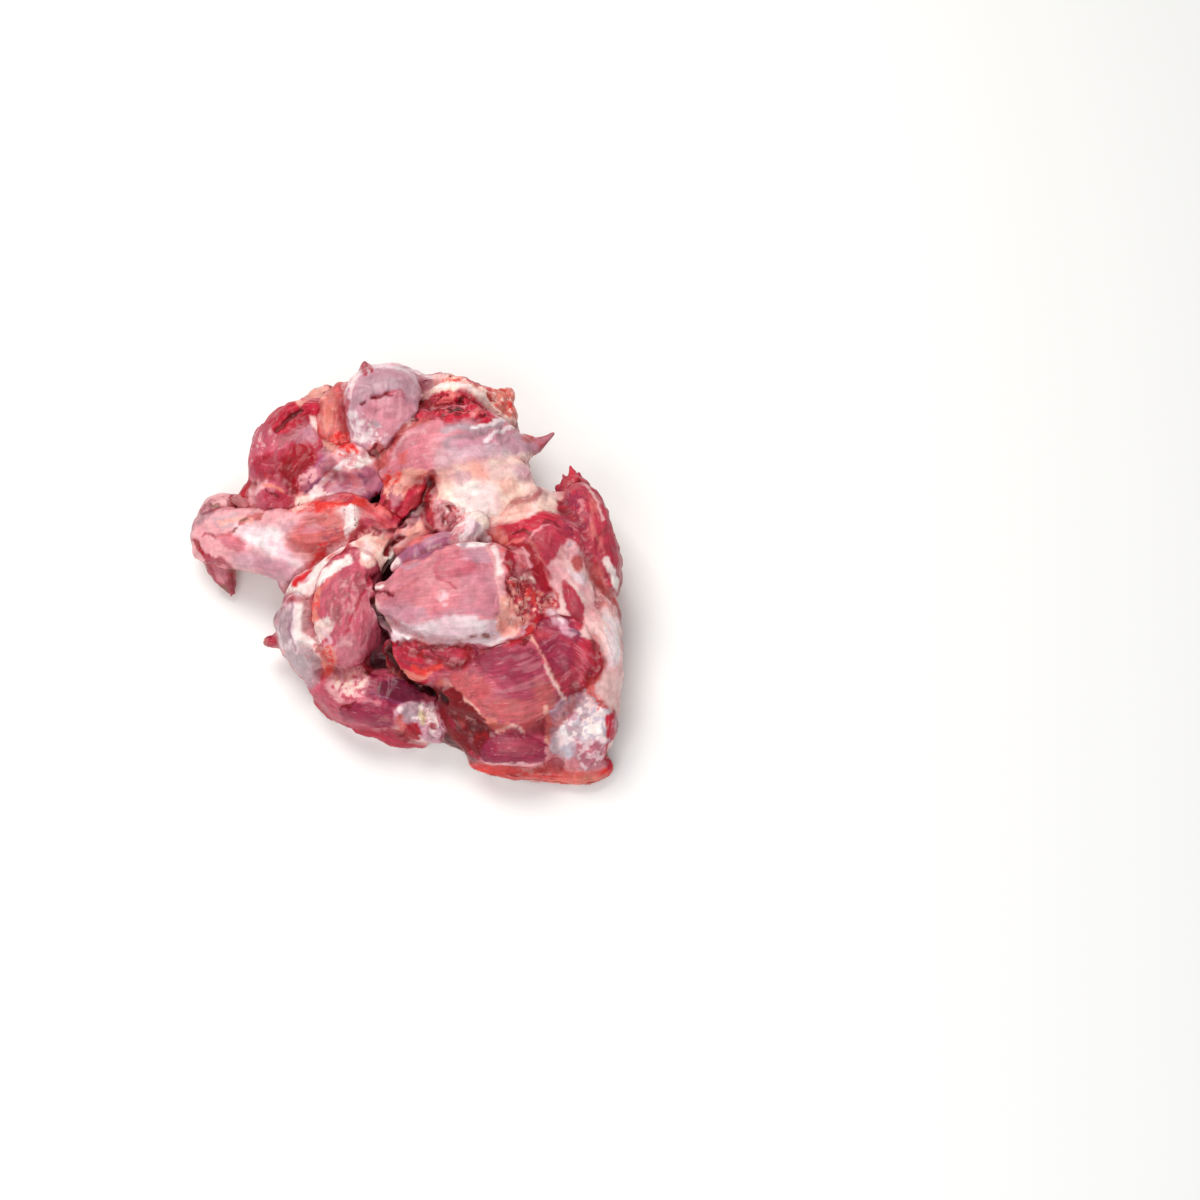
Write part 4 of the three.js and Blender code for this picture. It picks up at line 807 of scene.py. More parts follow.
# The right: dark lean between fat, up to the tall edge
right = {
    "name": "right",
    "voxel": 0.97,
    "blend": 5,
    "facets": (17, 0.07),
    "lobes": {
        "rightTop": lobe("brightLean", [(57, 10, 68), (86, 19, 69), (114, 35, 58)], [8, 10, 9], [8, 10, 10], full=0.7,
            lean=14),
        "rightLong": lobe("redLean", [(74, 3, 72), (91, -18, 75), (105, -40, 69)], [10, 13, 9], [9, 11, 9], full=0.8,
            square=0.85),
        "rightPlum": lobe("redLean", [(87, 11, 69), (102, 3, 71), (116, 13, 64)], [10, 13, 10], [9, 11, 10],
            full=0.7),
        "rightInner": lobe("brightLean", [(75, -9, 69), (85, -36, 71), (95, -60, 62)], [10, 13, 10], [9, 10, 9],
            full=0.7),
        "fatStrip": lobe("creamFat", [(63, -7, 80), (71, -27, 83), (77, -50, 79), (81, -67, 68)], [6, 7, 8, 8],
            [6, 7, 7, 7], full=0.7),
        "rightTall": lobe("redLean", [(124, 57, 38), (127, 40, 48), (136, 5, 50), (142, -27, 44)], [8, 15, 17, 14],
            [11, 22, 22, 20], full=0.7, square=0.85),
        "rightLow": lobe("redLean", [(109, -19, 64), (119, -39, 61), (128, -58, 51)], [7, 10, 8], [8, 10, 9],
            full=0.8),
        "rightRim": lobe("redLean", [(135, -12, 46), (140, -29, 42), (143, -50, 36)], [7, 8, 8], [9, 10, 9]),
        "fatRight": lobe("pinkFat", [(105, -37, 58), (131, -63, 48), (138, -94, 33), (139, -123, 20)],
            [13, 21, 17, 11], [11, 19, 20, 14], full=0.7),
        "wallRight": lobe("pinkFat", [(129, 9, 42), (135, -31, 34), (141, -68, 28), (139, -107, 18)], [9, 13, 13, 11],
            [18, 27, 25, 18], full=0.7),
        "rightGround": lobe("pinkFat", [(92, 30, 52), (106, 0, 58), (114, -36, 56), (116, -64, 50)], [16, 22, 22, 18],
            [16, 20, 20, 16], full=0.7),
        "topFill": lobe("pinkFat", [(52, 20, 58), (84, 32, 60), (116, 44, 50)], [12, 14, 12], [14, 15, 13], full=0.7),
        "underRight": lobe("redLean", [(62, 6, 56), (97, -6, 59), (128, -24, 48)], [18, 36, 24], [20, 24, 21],
            full=0.7, square=0.8),
    },
    "marks": {
        "fatStrip": mark("palePink", [491, 548, 495, 557, 498, 568, 501, 582, 503, 596, 502, 612], width=9),
        "fatStripWhite": mark("whiteFat", [494, 548, 497, 560, 500, 574], width=5, share=0.8),
        "stripRed": mark("redLean", [490, 546, 495, 543], width=3, share=0.8),
        "rightTop": mark("brightLean", [485, 529, 500, 526, 520, 521, 535, 515, 547, 512, 556, 515, 558, 519,
            545, 522, 540, 528, 530, 532, 520, 537, 512, 541, 503, 548, 498, 545, 492, 540, 487, 535], soft=2.6),
        "rightTopGlow": mark("orangeFlesh", [488, 531, 500, 528, 508, 536, 504, 546, 494, 541], share=0.8, soft=5),
        "rightTopLine": mark("deepRed", [513, 532, 521, 530, 527, 532, 533, 534], width=3.4, lift=-0.8),
        "rightTopPale": mark("pinkLean", [529, 537, 536, 531, 548, 527], width=3, lift=0.6),
        "rightLong": mark("crimson", [503, 551, 511, 545, 520, 541, 524, 541, 531, 542, 538, 556, 545, 572, 551, 586,
            553, 592, 545, 591, 538, 584, 531, 577, 520, 580, 511, 577, 504, 568, 502, 558], soft=2.4),
        "rightLongRose": mark("pinkLean", [513, 555, 521, 550, 527, 560, 529, 575, 520, 579, 512, 574], share=0.6),
        "rightLongDark": mark("crimson", [503, 556, 510, 550, 513, 562, 511, 574, 505, 568], share=0.8),
        "rightLongFoot": mark("crimson", [525, 544, 531, 545, 538, 560, 546, 577, 551, 590, 543, 588, 534, 577,
            529, 562], soft=2.4),
        "rightLongStreak": mark("palePink", [522, 547, 527, 556, 530, 567], width=3),
        "rightLongRidge": mark("salmonLean", [528, 537, 536, 550, 543, 563, 550, 579, 558, 597], width=2.6, lift=0.5,
            soft=2),
        "rightLongLeft": mark("coralFlesh", [501, 553, 511, 544, 523, 539], width=3, lift=0.5),
        "rightFork": mark("creamFat", [520, 580, 528, 578, 534, 584], width=5, lift=0.4),
        "rightPlum": mark("redLean", [536, 535, 544, 529, 556, 528, 560, 538, 558, 552, 552, 562, 547, 565, 541, 556,
            537, 545], soft=2.6),
        "rightPlumDark": mark("redLean", [540, 534, 556, 530, 558, 545, 546, 556, 540, 546], cover=0.6, grit=4),
        "plumTop": mark("deepRed", [545, 524, 552, 522, 557, 526], width=3.4, share=0.8),
        "rightTall": mark("redLean", [557, 503, 564, 500, 564, 486, 563, 476, 568, 484, 571, 470, 577, 471, 581, 482,
            589, 485, 597, 495, 602, 505, 605, 525, 606, 545, 607, 560, 596, 564, 586, 556, 576, 546, 564, 538,
            561, 520], soft=2.6),
        "rightTallRose": mark("salmonLean", [590, 500, 600, 505, 604, 535, 604, 558, 594, 556, 588, 530], cover=0.5,
            grit=6, stretch=(2, 1, 1)),
        "rightTallDark": mark("darkLean", [566, 490, 578, 488, 588, 508, 586, 530, 570, 536, 563, 522], cover=0.6,
            grit=4),
        "rightTallMarbling": mark("pinkLean", [566, 500, 580, 495, 590, 510, 600, 545, 594, 560, 580, 545, 568, 525],
            cover=0.24, grit=2.6, stretch=(1.5, 1, 1), share=0.7),
        "rightTallEdge": mark("pinkFat", [584, 484, 592, 492, 600, 508, 604, 520], width=3, share=0.7),
        "rightTallTip": mark("brightLean", [567, 478, 572, 468, 578, 478, 578, 492, 570, 492]),
        "tallFat": mark("palePink", [562, 545, 570, 539, 577, 547, 583, 553, 574, 557, 565, 558], crumb=0.9),
        "tallFatGrey": mark("greyFat", [566, 542, 574, 541, 578, 550, 570, 552], cover=0.5),
        "fatBand": mark("palePink", [547, 566, 556, 560, 562, 560, 573, 571, 585, 573, 592, 590, 600, 603, 606, 620,
            598, 622, 590, 608, 584, 594, 578, 590, 568, 580, 560, 578, 560, 592, 555, 590]),
        "fatBandWhite": mark("palePink", [549, 568, 560, 562, 570, 572, 566, 580, 556, 584], share=0.7),
        "fatBandLilac": mark("paleFilm", [566, 568, 584, 574, 588, 586, 576, 582]),
        "brownRed": mark("salmonLean", [570, 557, 583, 556, 582, 568, 577, 573, 571, 565]),
        "rightLow": mark("redLean", [561, 580, 568, 583, 575, 592, 582, 603, 586, 615, 584, 628, 577, 632, 571, 618,
            566, 604, 561, 590], soft=2.6),
        "rightLowDark": mark("duskyLean", [568, 592, 576, 600, 583, 614, 580, 626, 573, 612], soft=5, share=0.6),
        "rightRim": mark("salmonLean", [587, 562, 598, 565, 604, 575, 608, 588, 612, 604, 610, 609, 603, 600,
            597, 590, 590, 578]),
        "rightRimGlow": mark("pinkLean", [592, 566, 604, 572, 610, 592, 600, 586], cover=0.4, grit=4),
        "rightWhite": mark("whiteFat", [606, 560, 616, 586, 621, 618], width=6),
        "fatRight": mark("pinkFat", [590, 584, 600, 595, 612, 609, 625, 628, 623, 661, 618, 691, 603, 684, 606, 665,
            597, 646, 580, 637, 585, 618]),
        "fatRightWhite": mark("whiteFilm", [604, 612, 618, 628, 618, 664, 610, 676, 606, 644], cover=0.75, grit=5,
            stretch=(3, 1, 1)),
        "fatRightOrange": mark("palePink", [586, 592, 590, 606, 598, 620], width=8, soft=4, share=0.7),
        "lilacSliver": mark("lilacFilm", [545, 611, 552, 607, 560, 616, 570, 626, 577, 634, 570, 638, 560, 630,
            550, 622], lift=0.4, soft=2.6),
        "sliverDark": mark("deepPurple", [571, 631, 580, 636], width=3.5, share=0.7),
        "sliverPale": mark("whiteFilm", [548, 611, 556, 616, 563, 625], width=3.5, share=0.7),
        "rightInner": mark("redLean", [505, 577, 520, 582, 531, 580, 545, 594, 558, 600, 560, 610, 548, 607, 540, 614,
            531, 617, 518, 616, 508, 610, 505, 592], crumb=0.5),
        "rightInnerRed": mark("blood", [506, 575, 524, 586, 544, 595, 530, 612, 520, 606, 512, 590], cover=0.5,
            grit=3.2, crumb=0.4, share=0.8),
        "rightInnerPale": mark("peachFat", [506, 580, 524, 584, 548, 596, 556, 606, 530, 614, 510, 608], cover=0.3,
            grit=2.6, crumb=0.3),
        "innerSlitA": mark("deepRed", [507, 584, 509, 590, 511, 596], width=2.6, lift=-1.2),
        "innerSlitB": mark("deepRed", [527, 614, 530, 609, 534, 606], width=2.6, lift=-1.2),
        "innerSlitC": mark("redLean", [510, 603, 515, 601], width=3),
        "creamOrange": mark("peachFat", [500, 598, 508, 596, 512, 606, 518, 617, 534, 615, 524, 627, 508, 637,
            498, 632], crumb=0.4),
        "creamOrangePeach": mark("creamFat", [500, 604, 510, 600, 514, 612, 522, 620, 508, 630], cover=0.4),
        "redHem": mark("brightLean", [538, 619, 532, 627, 522, 638, 506, 646], width=7),
        "redHemGlow": mark("blood", [536, 622, 526, 634, 516, 641], width=3, share=0.6),
        "wedge": mark("deepRed", [526, 636, 532, 640, 524, 648, 518, 644]),
    },
}
growPiece(right)

# The near right: the big cut face, its plate and corner of fat, and the lobe below it
nearRight = {
    "name": "nearRight",
    "voxel": 0.97,
    "blend": 6,
    "facets": (22, 0.07),
    "lobes": {
        "cutKnob": lobe("brightLean", [(-12, -70, 50), (8, -78, 55), (34, -82, 56), (61, -80, 54)], [10, 17, 16, 13],
            [10, 15, 15, 12], full=0.5, square=0.85, lean=12),
        "knobLip": lobe("orangeFlesh", [(-8, -72, 44), (1, -82, 43), (14, -86, 43), (34, -84, 46)], [6, 8, 8, 8],
            [7, 9, 9, 9], full=0.7),
        "bigFace": lobe("roseLean", [(27, -99, 42), (61, -97, 47), (91, -91, 49), (119, -71, 48)], [18, 30, 32, 26],
            [18, 24, 25, 22], full=0.6, square=0.85, lean=26),
        "faceShoulder": lobe("darkLean", [(16, -80, 50), (46, -86, 55), (78, -88, 57), (108, -78, 52)],
            [12, 15, 17, 15], [11, 13, 14, 14], full=0.7, lean=16),
        "plate": lobe("darkLean", [(85, -61, 52), (113, -73, 50), (142, -93, 36)], [17, 25, 16], [14, 21, 18],
            full=0.6, square=0.85, lean=22),
        "fatCorner": lobe("blueFat", [(128, -89, 38), (127, -117, 28), (127, -146, 12)], [15, 22, 18], [12, 18, 12],
            full=0.6, square=0.85),
        "bottomLobe": lobe("darkLean", [(43, -131, 20), (73, -131, 25), (109, -133, 22)], [13, 17, 15], [14, 19, 17],
            full=0.5, square=0.85, lean=18),
        # painted shade: the side below the big face, which lies in shade
        "sideInShade": lobe("shadedMeat", [(29, -98, 30), (44, -119, 23), (59, -135, 12)], [11, 14, 11], [18, 19, 12],
            full=0.7),
        "footFill": lobe("salmonLean", [(54, -120, 24), (78, -120, 28), (98, -120, 26)], [9, 10, 9], [9, 10, 9]),
        "cornerFill": lobe("orangeFlesh", [(106, -102, 36), (104, -117, 31), (104, -132, 23)], [8, 9, 8], [9, 10, 9]),
        "bottomEdge": lobe("blood", [(47, -136, 7), (83, -142, 7), (125, -146, 7), (147, -138, 8)], [9, 9, 9, 9],
            [7, 7, 7, 8], full=0.6),
    },
    "marks": {
        "bigFace": mark("roseLean", [457, 641, 482, 643, 515, 647, 534, 646, 547, 664, 555, 682, 564, 698, 552, 707,
            551, 727, 547, 745, 533, 735, 515, 727, 498, 730, 482, 721, 461, 699, 442, 684, 428, 677]),
        "faceTop": mark("darkLean", [470, 644, 515, 648, 536, 650, 540, 672, 512, 680, 482, 672], soft=9, share=0.8),
        "faceMiddle": mark("darkLean", [496, 668, 533, 668, 536, 698, 504, 700], soft=10, share=0.6),
        "faceLower": mark("salmonLean", [462, 696, 500, 698, 542, 704, 542, 728, 510, 722, 484, 716], soft=8,
            share=0.8),
        "faceLeft": mark("salmonLean", [440, 676, 468, 672, 492, 684, 486, 700, 458, 694], soft=7, share=0.7),
        "faceRight": mark("salmonLean", [534, 680, 552, 686, 556, 706, 546, 722, 536, 704], soft=7, share=0.8),
        "faceShadow": mark("crimson", [458, 640, 470, 644, 472, 662, 462, 668, 457, 656], soft=5),
        "faceLines": mark("palePink", [478, 652, 512, 650, 540, 660, 544, 690, 508, 694, 480, 684], cover=0.16,
            grit=2.6, stretch=(7, 1, 1), share=0.22),
        "faceLinesLow": mark("rosePink", [462, 694, 500, 696, 544, 700, 544, 730, 500, 726, 476, 712], cover=0.3,
            grit=2.6, stretch=(6, 1, 1), share=0.22),
        "faceEdge": mark("orangeFlesh", [441, 682, 459, 693, 476, 712, 484, 721, 495, 722], width=5, soft=4),
        "faceEdgePale": mark("creamFat", [450, 686, 466, 700, 480, 716], width=2.5, share=0.6),
        "faceFoot": mark("creamFat", [497, 731, 507, 727, 516, 726, 524, 731], width=3.5, lift=0.5),
        "faceFootRed": mark("orangeFlesh", [484, 720, 496, 727, 508, 723], width=4, share=0.8),
        "seamStrip": mark("peachFat", [528, 637, 538, 646, 545, 657, 552, 674, 565, 699], width=4, lift=0.5),
        "seamWhite": mark("pinkFat", [546, 664, 554, 682, 564, 698], width=3, share=0.8),
        "plate": mark("redLean", [532, 637, 551, 633, 575, 641, 594, 642, 604, 666, 601, 679, 591, 684, 584, 688,
            574, 694, 565, 696, 555, 677, 545, 657]),
        "plateDusk": mark("darkLean", [536, 640, 556, 636, 572, 646, 570, 668, 556, 672, 544, 656], soft=9,
            share=0.9),
        "plateRight": mark("brightLean", [580, 644, 596, 646, 604, 664, 596, 682, 582, 686, 578, 664], soft=7,
            share=0.6),
        "plateGlow": mark("blood", [586, 680, 600, 676, 602, 694, 592, 698], share=0.85),
        "plateMarbling": mark("rosePink", [540, 640, 590, 645, 598, 676, 566, 690, 550, 664], cover=0.14, grit=2.6,
            stretch=(4, 1, 1), share=0.4),
        "cornerFat": mark("blueFat", [584, 687, 593, 700, 605, 717, 608, 737, 603, 747, 576, 740, 576, 762, 557, 757,
            549, 746, 551, 727, 550, 712, 566, 699], crumb=0.5),
        "fatPatchWhite": mark("whiteFat", [566, 702, 584, 690, 594, 702, 606, 722, 602, 742, 580, 736, 562, 744,
            554, 728], cover=0.5, grit=2.6),
        "fatPatchPink": mark("whiteFilm", [554, 716, 566, 706, 572, 730, 560, 750], cover=0.6, grit=2.6),
        "fatPatchLilac": mark("greyFat", [564, 708, 580, 702, 588, 716, 580, 736, 566, 734], cover=0.6, grit=2.6,
            soft=5),
        "fatPatchPlum": mark("lilacFilm", [568, 714, 580, 712, 580, 728, 570, 730], cover=0.5, grit=2.6),
        "fatPatchStreak": mark("greyFat", [563, 722, 569, 710, 578, 700], width=4, cover=0.5, grit=2.6),
        "cornerPurple": mark("duskyRose", [575, 738, 603, 744, 606, 764, 590, 772, 574, 764], soft=8),
        "cornerMottle": mark("whiteFilm", [575, 738, 603, 744, 604, 762, 580, 766], cover=0.45, share=0.6),
        "fatPatchLeft": mark("peachFat", [546, 706, 549, 727, 547, 747], width=4.5),
        "rightStrip": mark("pinkFat", [603, 670, 621, 666, 614, 703, 609, 718, 602, 706, 596, 690]),
        "rightStripRed": mark("brightLean", [606, 714, 613, 716, 612, 764, 606, 764]),
        "cornerRed": mark("coralFlesh", [588, 690, 598, 694, 606, 712, 598, 712], cover=0.4),
        "cutKnob": mark("redLean", [393, 643, 402, 640, 430, 646, 459, 645, 460, 662, 441, 672, 420, 670, 400, 660],
            crumb=0.7, soft=3),
        "knobBright": mark("brightLean", [398, 652, 420, 654, 444, 656, 440, 666, 412, 664], cover=0.6, grit=3.2),
        "knobDark": mark("deepRed", [398, 643, 412, 641, 430, 648, 446, 646, 456, 648], width=6, cover=0.75, crumb=1,
            share=0.8),
        "knobRose": mark("roseLean", [424, 650, 446, 652, 450, 664, 432, 666], share=0.6, soft=5),
        "blockRim": mark("orangeFlesh", [391, 650, 394, 663, 404, 673, 417, 677, 430, 672], width=7, soft=3),
        "knobRimRed": mark("blood", [414, 668, 426, 671, 440, 666], width=6, soft=4),
        "knobRimPale": mark("peachFat", [391, 652, 394, 664, 402, 674, 412, 680], width=3.4, share=0.9),
        # painted shade in the tuck below the knob
        "tuck": mark("shadedMeat", [420, 686, 432, 688, 444, 692], width=7, soft=4),
        "tuckLilac": mark("duskyRose", [414, 684, 424, 686, 434, 684], width=4, share=0.7),
        "bottomLobe": mark("darkLean", [477, 750, 493, 737, 515, 732, 537, 737, 548, 746, 546, 759, 515, 763,
            491, 759]),
        "bottomLobeRose": mark("duskyLean", [492, 742, 520, 737, 540, 745, 530, 756, 500, 754], soft=7, share=0.5),
        "bottomRidge": mark("palePink", [475, 757, 493, 764, 515, 764, 542, 765], width=3, lift=0.5),
        "edgePale": mark("palePink", [500, 770, 530, 776, 560, 780, 590, 782, 590, 792, 550, 790, 510, 782],
            cover=0.42, grit=4, stretch=(3, 1, 1), share=0.35),
        "lobeRight": mark("pinkLean", [546, 748, 560, 757, 577, 762, 578, 768, 546, 766]),
        # painted shade: the side below the big face and its foot, which lie in shade
        "sideInShade": mark("deepRed", [438, 690, 454, 686, 471, 707, 493, 732, 480, 747, 471, 760, 458, 748, 441, 717]),
        "darkSideRed": mark("shadedMeat", [446, 698, 460, 704, 474, 724, 468, 738, 452, 722], cover=0.4, grit=5,
            share=0.7),
        "darkSideRose": mark("darkLean", [444, 696, 448, 712, 454, 728], width=4, share=0.5, soft=4),
        "darkFoot": mark("deepRed", [462, 740, 476, 742, 480, 758, 468, 762]),
        "footGlow": mark("redLean", [470, 752, 482, 762, 476, 768], width=4, share=0.7),
        "bottomEdge": mark("coralFlesh", [476, 762, 503, 767, 539, 766, 575, 768, 600, 773, 613, 780, 575, 787,
            539, 780, 503, 772], crumb=0.35),
        "edgeOrange": mark("orangeFlesh", [548, 776, 574, 779, 598, 776, 602, 786, 592, 792, 560, 792, 546, 786],
            soft=6, share=0.8),
        "bottomEdgeRed": mark("blood", [480, 766, 510, 772, 545, 774, 580, 776], width=7, soft=4, share=0.8),
        "bottomEdgePale": mark("orangeFlesh", [560, 776, 590, 778, 610, 782], width=5, share=0.6, soft=4),
    },
}
growPiece(nearRight)

# Torn ends and strands that stand free of the muscles
tornEnds = {
    "name": "tornEnds",
    "voxel": 0.6,
    "blend": 0.8,
    "facets": (9, 0.05),
    "lobes": {
        "toothA": lobe("crimson", [(118, 53, 47), (115, 63, 45), (112, 73, 43)], [5, 3.4, 0.8], [6, 4, 0.8]),
        "toothB": lobe("brightLean", [(122, 57, 47), (120, 68, 45), (117.5, 79, 43)], [5, 3.8, 0.9], [6, 4.4, 0.9]),
        "toothC": lobe("redLean", [(127, 58, 46), (125.5, 66, 44), (123.5, 74, 43)], [5, 3, 0.8], [6, 3.6, 0.8]),
        "tallShredLow": lobe("redLean", [(120, 42, 50), (112, 46, 48), (104.5, 49, 46)], [6, 4.4, 1.6],
            [6, 4.4, 1.6]),
        "tallShredMiddle": lobe("redLean", [(121, 52, 47), (114, 57, 46), (108.5, 61, 45)], [5, 3.4, 1], [5, 3.4, 1]),
        "flapFray": lobe("peachFat", [(-112, 45, 44), (-119, 49, 46), (-126, 52, 44)], [4, 3, 1], [3, 2.4, 1]),
        "flapFrayLow": lobe("paleFilm", [(-118, 34, 40), (-127, 39, 41), (-134, 40, 38)], [4, 3, 1], [3, 2.4, 1]),
        "strandCream": lobe("creamFat", [(-58, 86, 66), (-51, 76, 71.5), (-45, 67, 68)], [2, 1.9, 1.6],
            [2, 1.8, 1.6]),
        "strandOrange": lobe("coralFlesh", [(-44, 83, 67), (-38, 77, 72), (-33, 70, 68)], [2, 1.8, 1.4],
            [2, 1.8, 1.4]),
        "bitA": lobe("pinkFat", [(20, 30, 72), (24, 31, 73)], [4, 3], [3, 3]),
        "bitB": lobe("peachFat", [(25, 25, 75), (29, 24, 75)], [4, 4], [4, 3]),
        "bitC": lobe("creamFat", [(32, 19, 76), (36, 18, 76)], [4, 4], [4, 4]),
        "bitD": lobe("pinkFat", [(35, 12, 75), (39, 13, 76)], [4, 3], [3, 3]),
        "bitE": lobe("coralFlesh", [(28, 11, 74), (32, 10, 74)], [4, 3], [3, 3]),
        "bitF": lobe("blood", [(39, 25, 75), (43, 24, 75)], [3, 4], [3, 3]),
    },
    "marks": {},
}
growPiece(tornEnds)

# Patterns and reliefs below work on plain arrays of points in mm


def noise(points, size, seed):
    # Smooth noise from -1 to 1 whose lumps are about size mm across
    q = points / size + seed * 17.3
    cell = np.floor(q).astype(np.int64)
    f = q - cell
    f = f * f * (3 - 2 * f)
    total = np.zeros(len(points))
    for corner in range(8):
        step = np.array([corner & 1, corner >> 1 & 1, corner >> 2 & 1])
        x, y, z = (cell + step).T
        h = (x * 73856093) ^ (y * 19349663) ^ (z * 83492791) ^ (seed * 40503)  # scatters the cells
        h = (h ^ (h >> 13)) * 1274126177
        h = (h ^ (h >> 16)) & 0xFFFF
        total += (h / 32767.5 - 1) * np.prod(np.where(step, f, 1 - f), axis=1)
    return np.clip(total * 1.5, -1, 1)


def ramp(value, low, high):
    # 0 below low and 1 above high, with a smooth step between
    t = np.clip((value - low) / (high - low), 0, 1)
    return t * t * (3 - 2 * t)


def blendTo(array, weight, target):
    array += (target - array) * weight[:, None]


def patches(points, layer):
    # Where a layer of colour shows: in the noise's lumps, or in veins where the noise passes zero
    value = noise(points * np.array(layer.get("stretch", (1, 1, 1))), layer["size"], layer["seed"])
    if "fray" in layer:
        value = value + layer["fray"] * noise(points, layer["fraySize"], layer["seed"] + 1)
    if "vein" in layer:
        value = 1 - np.abs(value) * layer["vein"]
    return layer["share"] * ramp(value, *layer["step"])


def distanceToLine(px, line):
    nearest = np.full(len(px), 1e9)
    for a, b in zip(line[:-1], line[1:]):
        run = b - a
        t = np.clip(((px - a) @ run) / max(run @ run, 1e-9), 0, 1)
        nearest = np.minimum(nearest, np.hypot(*(px - a - t[:, None] * run).T))
    return nearest


def insideOf(px, ring):
    inside = np.zeros(len(px), bool)
    x, y = px.T
    for (ax, ay), (bx, by) in zip(ring, np.roll(ring, -1, axis=0)):
        crosses = (ay > y) != (by > y)
        inside ^= crosses & (x < (bx - ax) * (y - ay) / (by - ay if by != ay else 1e-9) + ax)
    return inside


def markWeight(facts, px, fray):
    # How strongly a mark covers each pixel place, from 0 to 1
    places = facts["at"]
    if "width" in facts:
        soft = facts.get("soft", 2.6)
        line = smoothLine(places, np.linspace(0, 1, len(places) * 4))
        return ramp(facts["width"] / 2 - distanceToLine(px, line) + fray * 0.4, -soft / 2, soft / 2)
    soft = facts.get("soft", 4)
    ring = smoothLine(places + [places[0]], np.linspace(0, 1, len(places) * 3 + 1))
    distance = distanceToLine(px, ring) * np.where(insideOf(px, ring), 1, -1)
    return ramp(distance + fray * min(1.6, soft / 3.4), -soft / 2, soft / 2)


def blurred(skin, values, rounds):
    # Each point takes the mean of its neighbours, once for every round
    here, there = skin["edges"].T
    flat = values.reshape(len(values), -1)
    for _ in range(rounds):
        total = [np.bincount(here, column[there], len(flat)) + np.bincount(there, column[here], len(flat))
                 for column in flat.T]
        flat = np.stack(total, 1) / skin["links"][:, None]
    return flat.reshape(values.shape)


def facets(points, apart, tilt, seed):
    # Cells that each lean their own way, with a soft step between neighbours
    random = np.random.default_rng(seed)
    span = np.ptp(points, axis=0)
    count = int(2.2 * (span[0] * span[1] + span[0] * span[2] + span[1] * span[2]) / apart**2)
    centres = points[random.integers(len(points), size=count)]
    lean = random.normal(size=(count, 3)) * tilt
    rise = random.normal(size=count) * tilt * apart * 0.2
    moved = points + np.stack([noise(points, apart * 0.7, seed + 50 + k) for k in range(3)], 1) * apart * 0.18
    height = np.empty(len(points))
    for start in range(0, len(points), 20000):  # in parts, to spare memory
        part = slice(start, start + 20000)
        away = np.linalg.norm(moved[part, None] - centres[None], axis=2)
        order = np.argpartition(away, 1, axis=1)[:, :2]
        rows = np.arange(len(order))[:, None]
        order = order[rows, np.argsort(away[rows, order], axis=1)]
        gap = np.diff(away[rows, order], axis=1)[:, 0]
        offs = moved[part, None] - centres[order]
        both = (offs * lean[order]).sum(2) + rise[order]
        own = 0.5 + 0.5 * ramp(gap, 0, 3.5)
        height[part] = own * both[:, 0] + (1 - own) * both[:, 1]
    return np.clip(height, -apart * 0.12, apart * 0.12)


# Sizes are in mm, and a step says where a pattern starts to show and where it shows fully
sightFacts = {
    "cell": 3,  # pixels
    "hiddenBelow": (7, 16),  # behind the nearest surface that the camera sees there
    "facing": (0.0, 0.12),  # share of straight at the camera
    "calm": (0.05, 0.5),  # where the surface turns away, the marks keep calm edges
    "rounds": 11,
}
borderFacts = {
    "shift": 2.2,  # the borders between lobes wander by this much
    "size": 9,
    "rounds": 6,
    "apart": 37.0,  # between the grain patterns of two lobes
}
capFacts = {
    "top": 34,  # the fat cap reaches about this far up the sides
    "waves": ({"size": 38, "seed": 5, "height": 9}, {"size": 9, "seed": 6, "height": 3}),
    "fade": 5,
    "upright": (0.55, 0.2),  # faces that point further up than this have no cap
    "base": "creamFat",
    "layers": (
        {"is": "whiteFat", "size": 30, "seed": 7, "step": (-0.1, 0.7), "share": 1},
        {"is": "pinkFat", "size": 21, "seed": 8, "step": (0.15, 0.75), "share": 0.8},
        {"is": "rosePink", "size": 15, "seed": 9, "step": (0.42, 0.8), "share": 0.7, "stretch": (1, 0.55, 1)},
        {"is": "roseLean", "size": 19, "seed": 19, "step": (0.52, 0.66), "share": 0.75,
         "stretch": (0.7, 0.7, 1.4), "fray": 0.3, "fraySize": 3.5},
        {"is": "duskyRose", "size": 24, "seed": 29, "step": (0, 0.8), "share": 0.5, "stretch": (1, 0.7, 1),
         "vein": 16},
    ),
}
hiddenFacts = {
    "film": {"is": "rosePink", "size": 17, "seed": 15, "step": (0.1, 0.6), "share": 0.55},
    "lean": {"is": "darkLean", "size": 9, "seed": 16, "step": (0.3, 0.75), "share": 0.6},
    "fat": {"is": "pinkFat", "size": 12, "seed": 17, "step": (0, 0.8), "share": 0.8, "vein": 9},
    "fatPlaces": {"size": 14, "seed": 18, "step": (0, 0.5), "share": 1},
    "along": (0.35, 1, 1),  # lean and fat run along the grain
}
markFacts = {
    "wander": 1.1,  # pixels that the edges of the marks wander
    "feather": 1.0,  # pixels that they fray along the grain
    "margin": 6,  # pixels
    "grit": 3,
    "firstSeed": 40,
}
creaseFacts = {
    "rounds": 30,
    "near": (0.25, 1.2),  # depth of a hollow
    "contact": (1.0, 5.0),  # distance to another piece
    "web": ({"is": "pinkFat", "sign": 1, "step": (0.4, 0.8)}, {"is": "blood", "sign": -1, "step": (0.4, 0.9)}),
    "webShare": 0.35,
    # painted shade in deep hollows and where pieces touch
    "hollowShade": (0.4, 2.2),
    "hollowShadeShare": 0.8,
    "contactShade": (0.8, 3.0),
    "darker": (0.55, 0.88, 0.84),  # painted shade: what the deepest crease takes from red, green and blue
    # painted highlight: crests are made paler
    "crest": (0.3, 2.0),
    "crestHighlightShare": 0.25,
    "paler": (0.4, 0.3, 0.3),
}
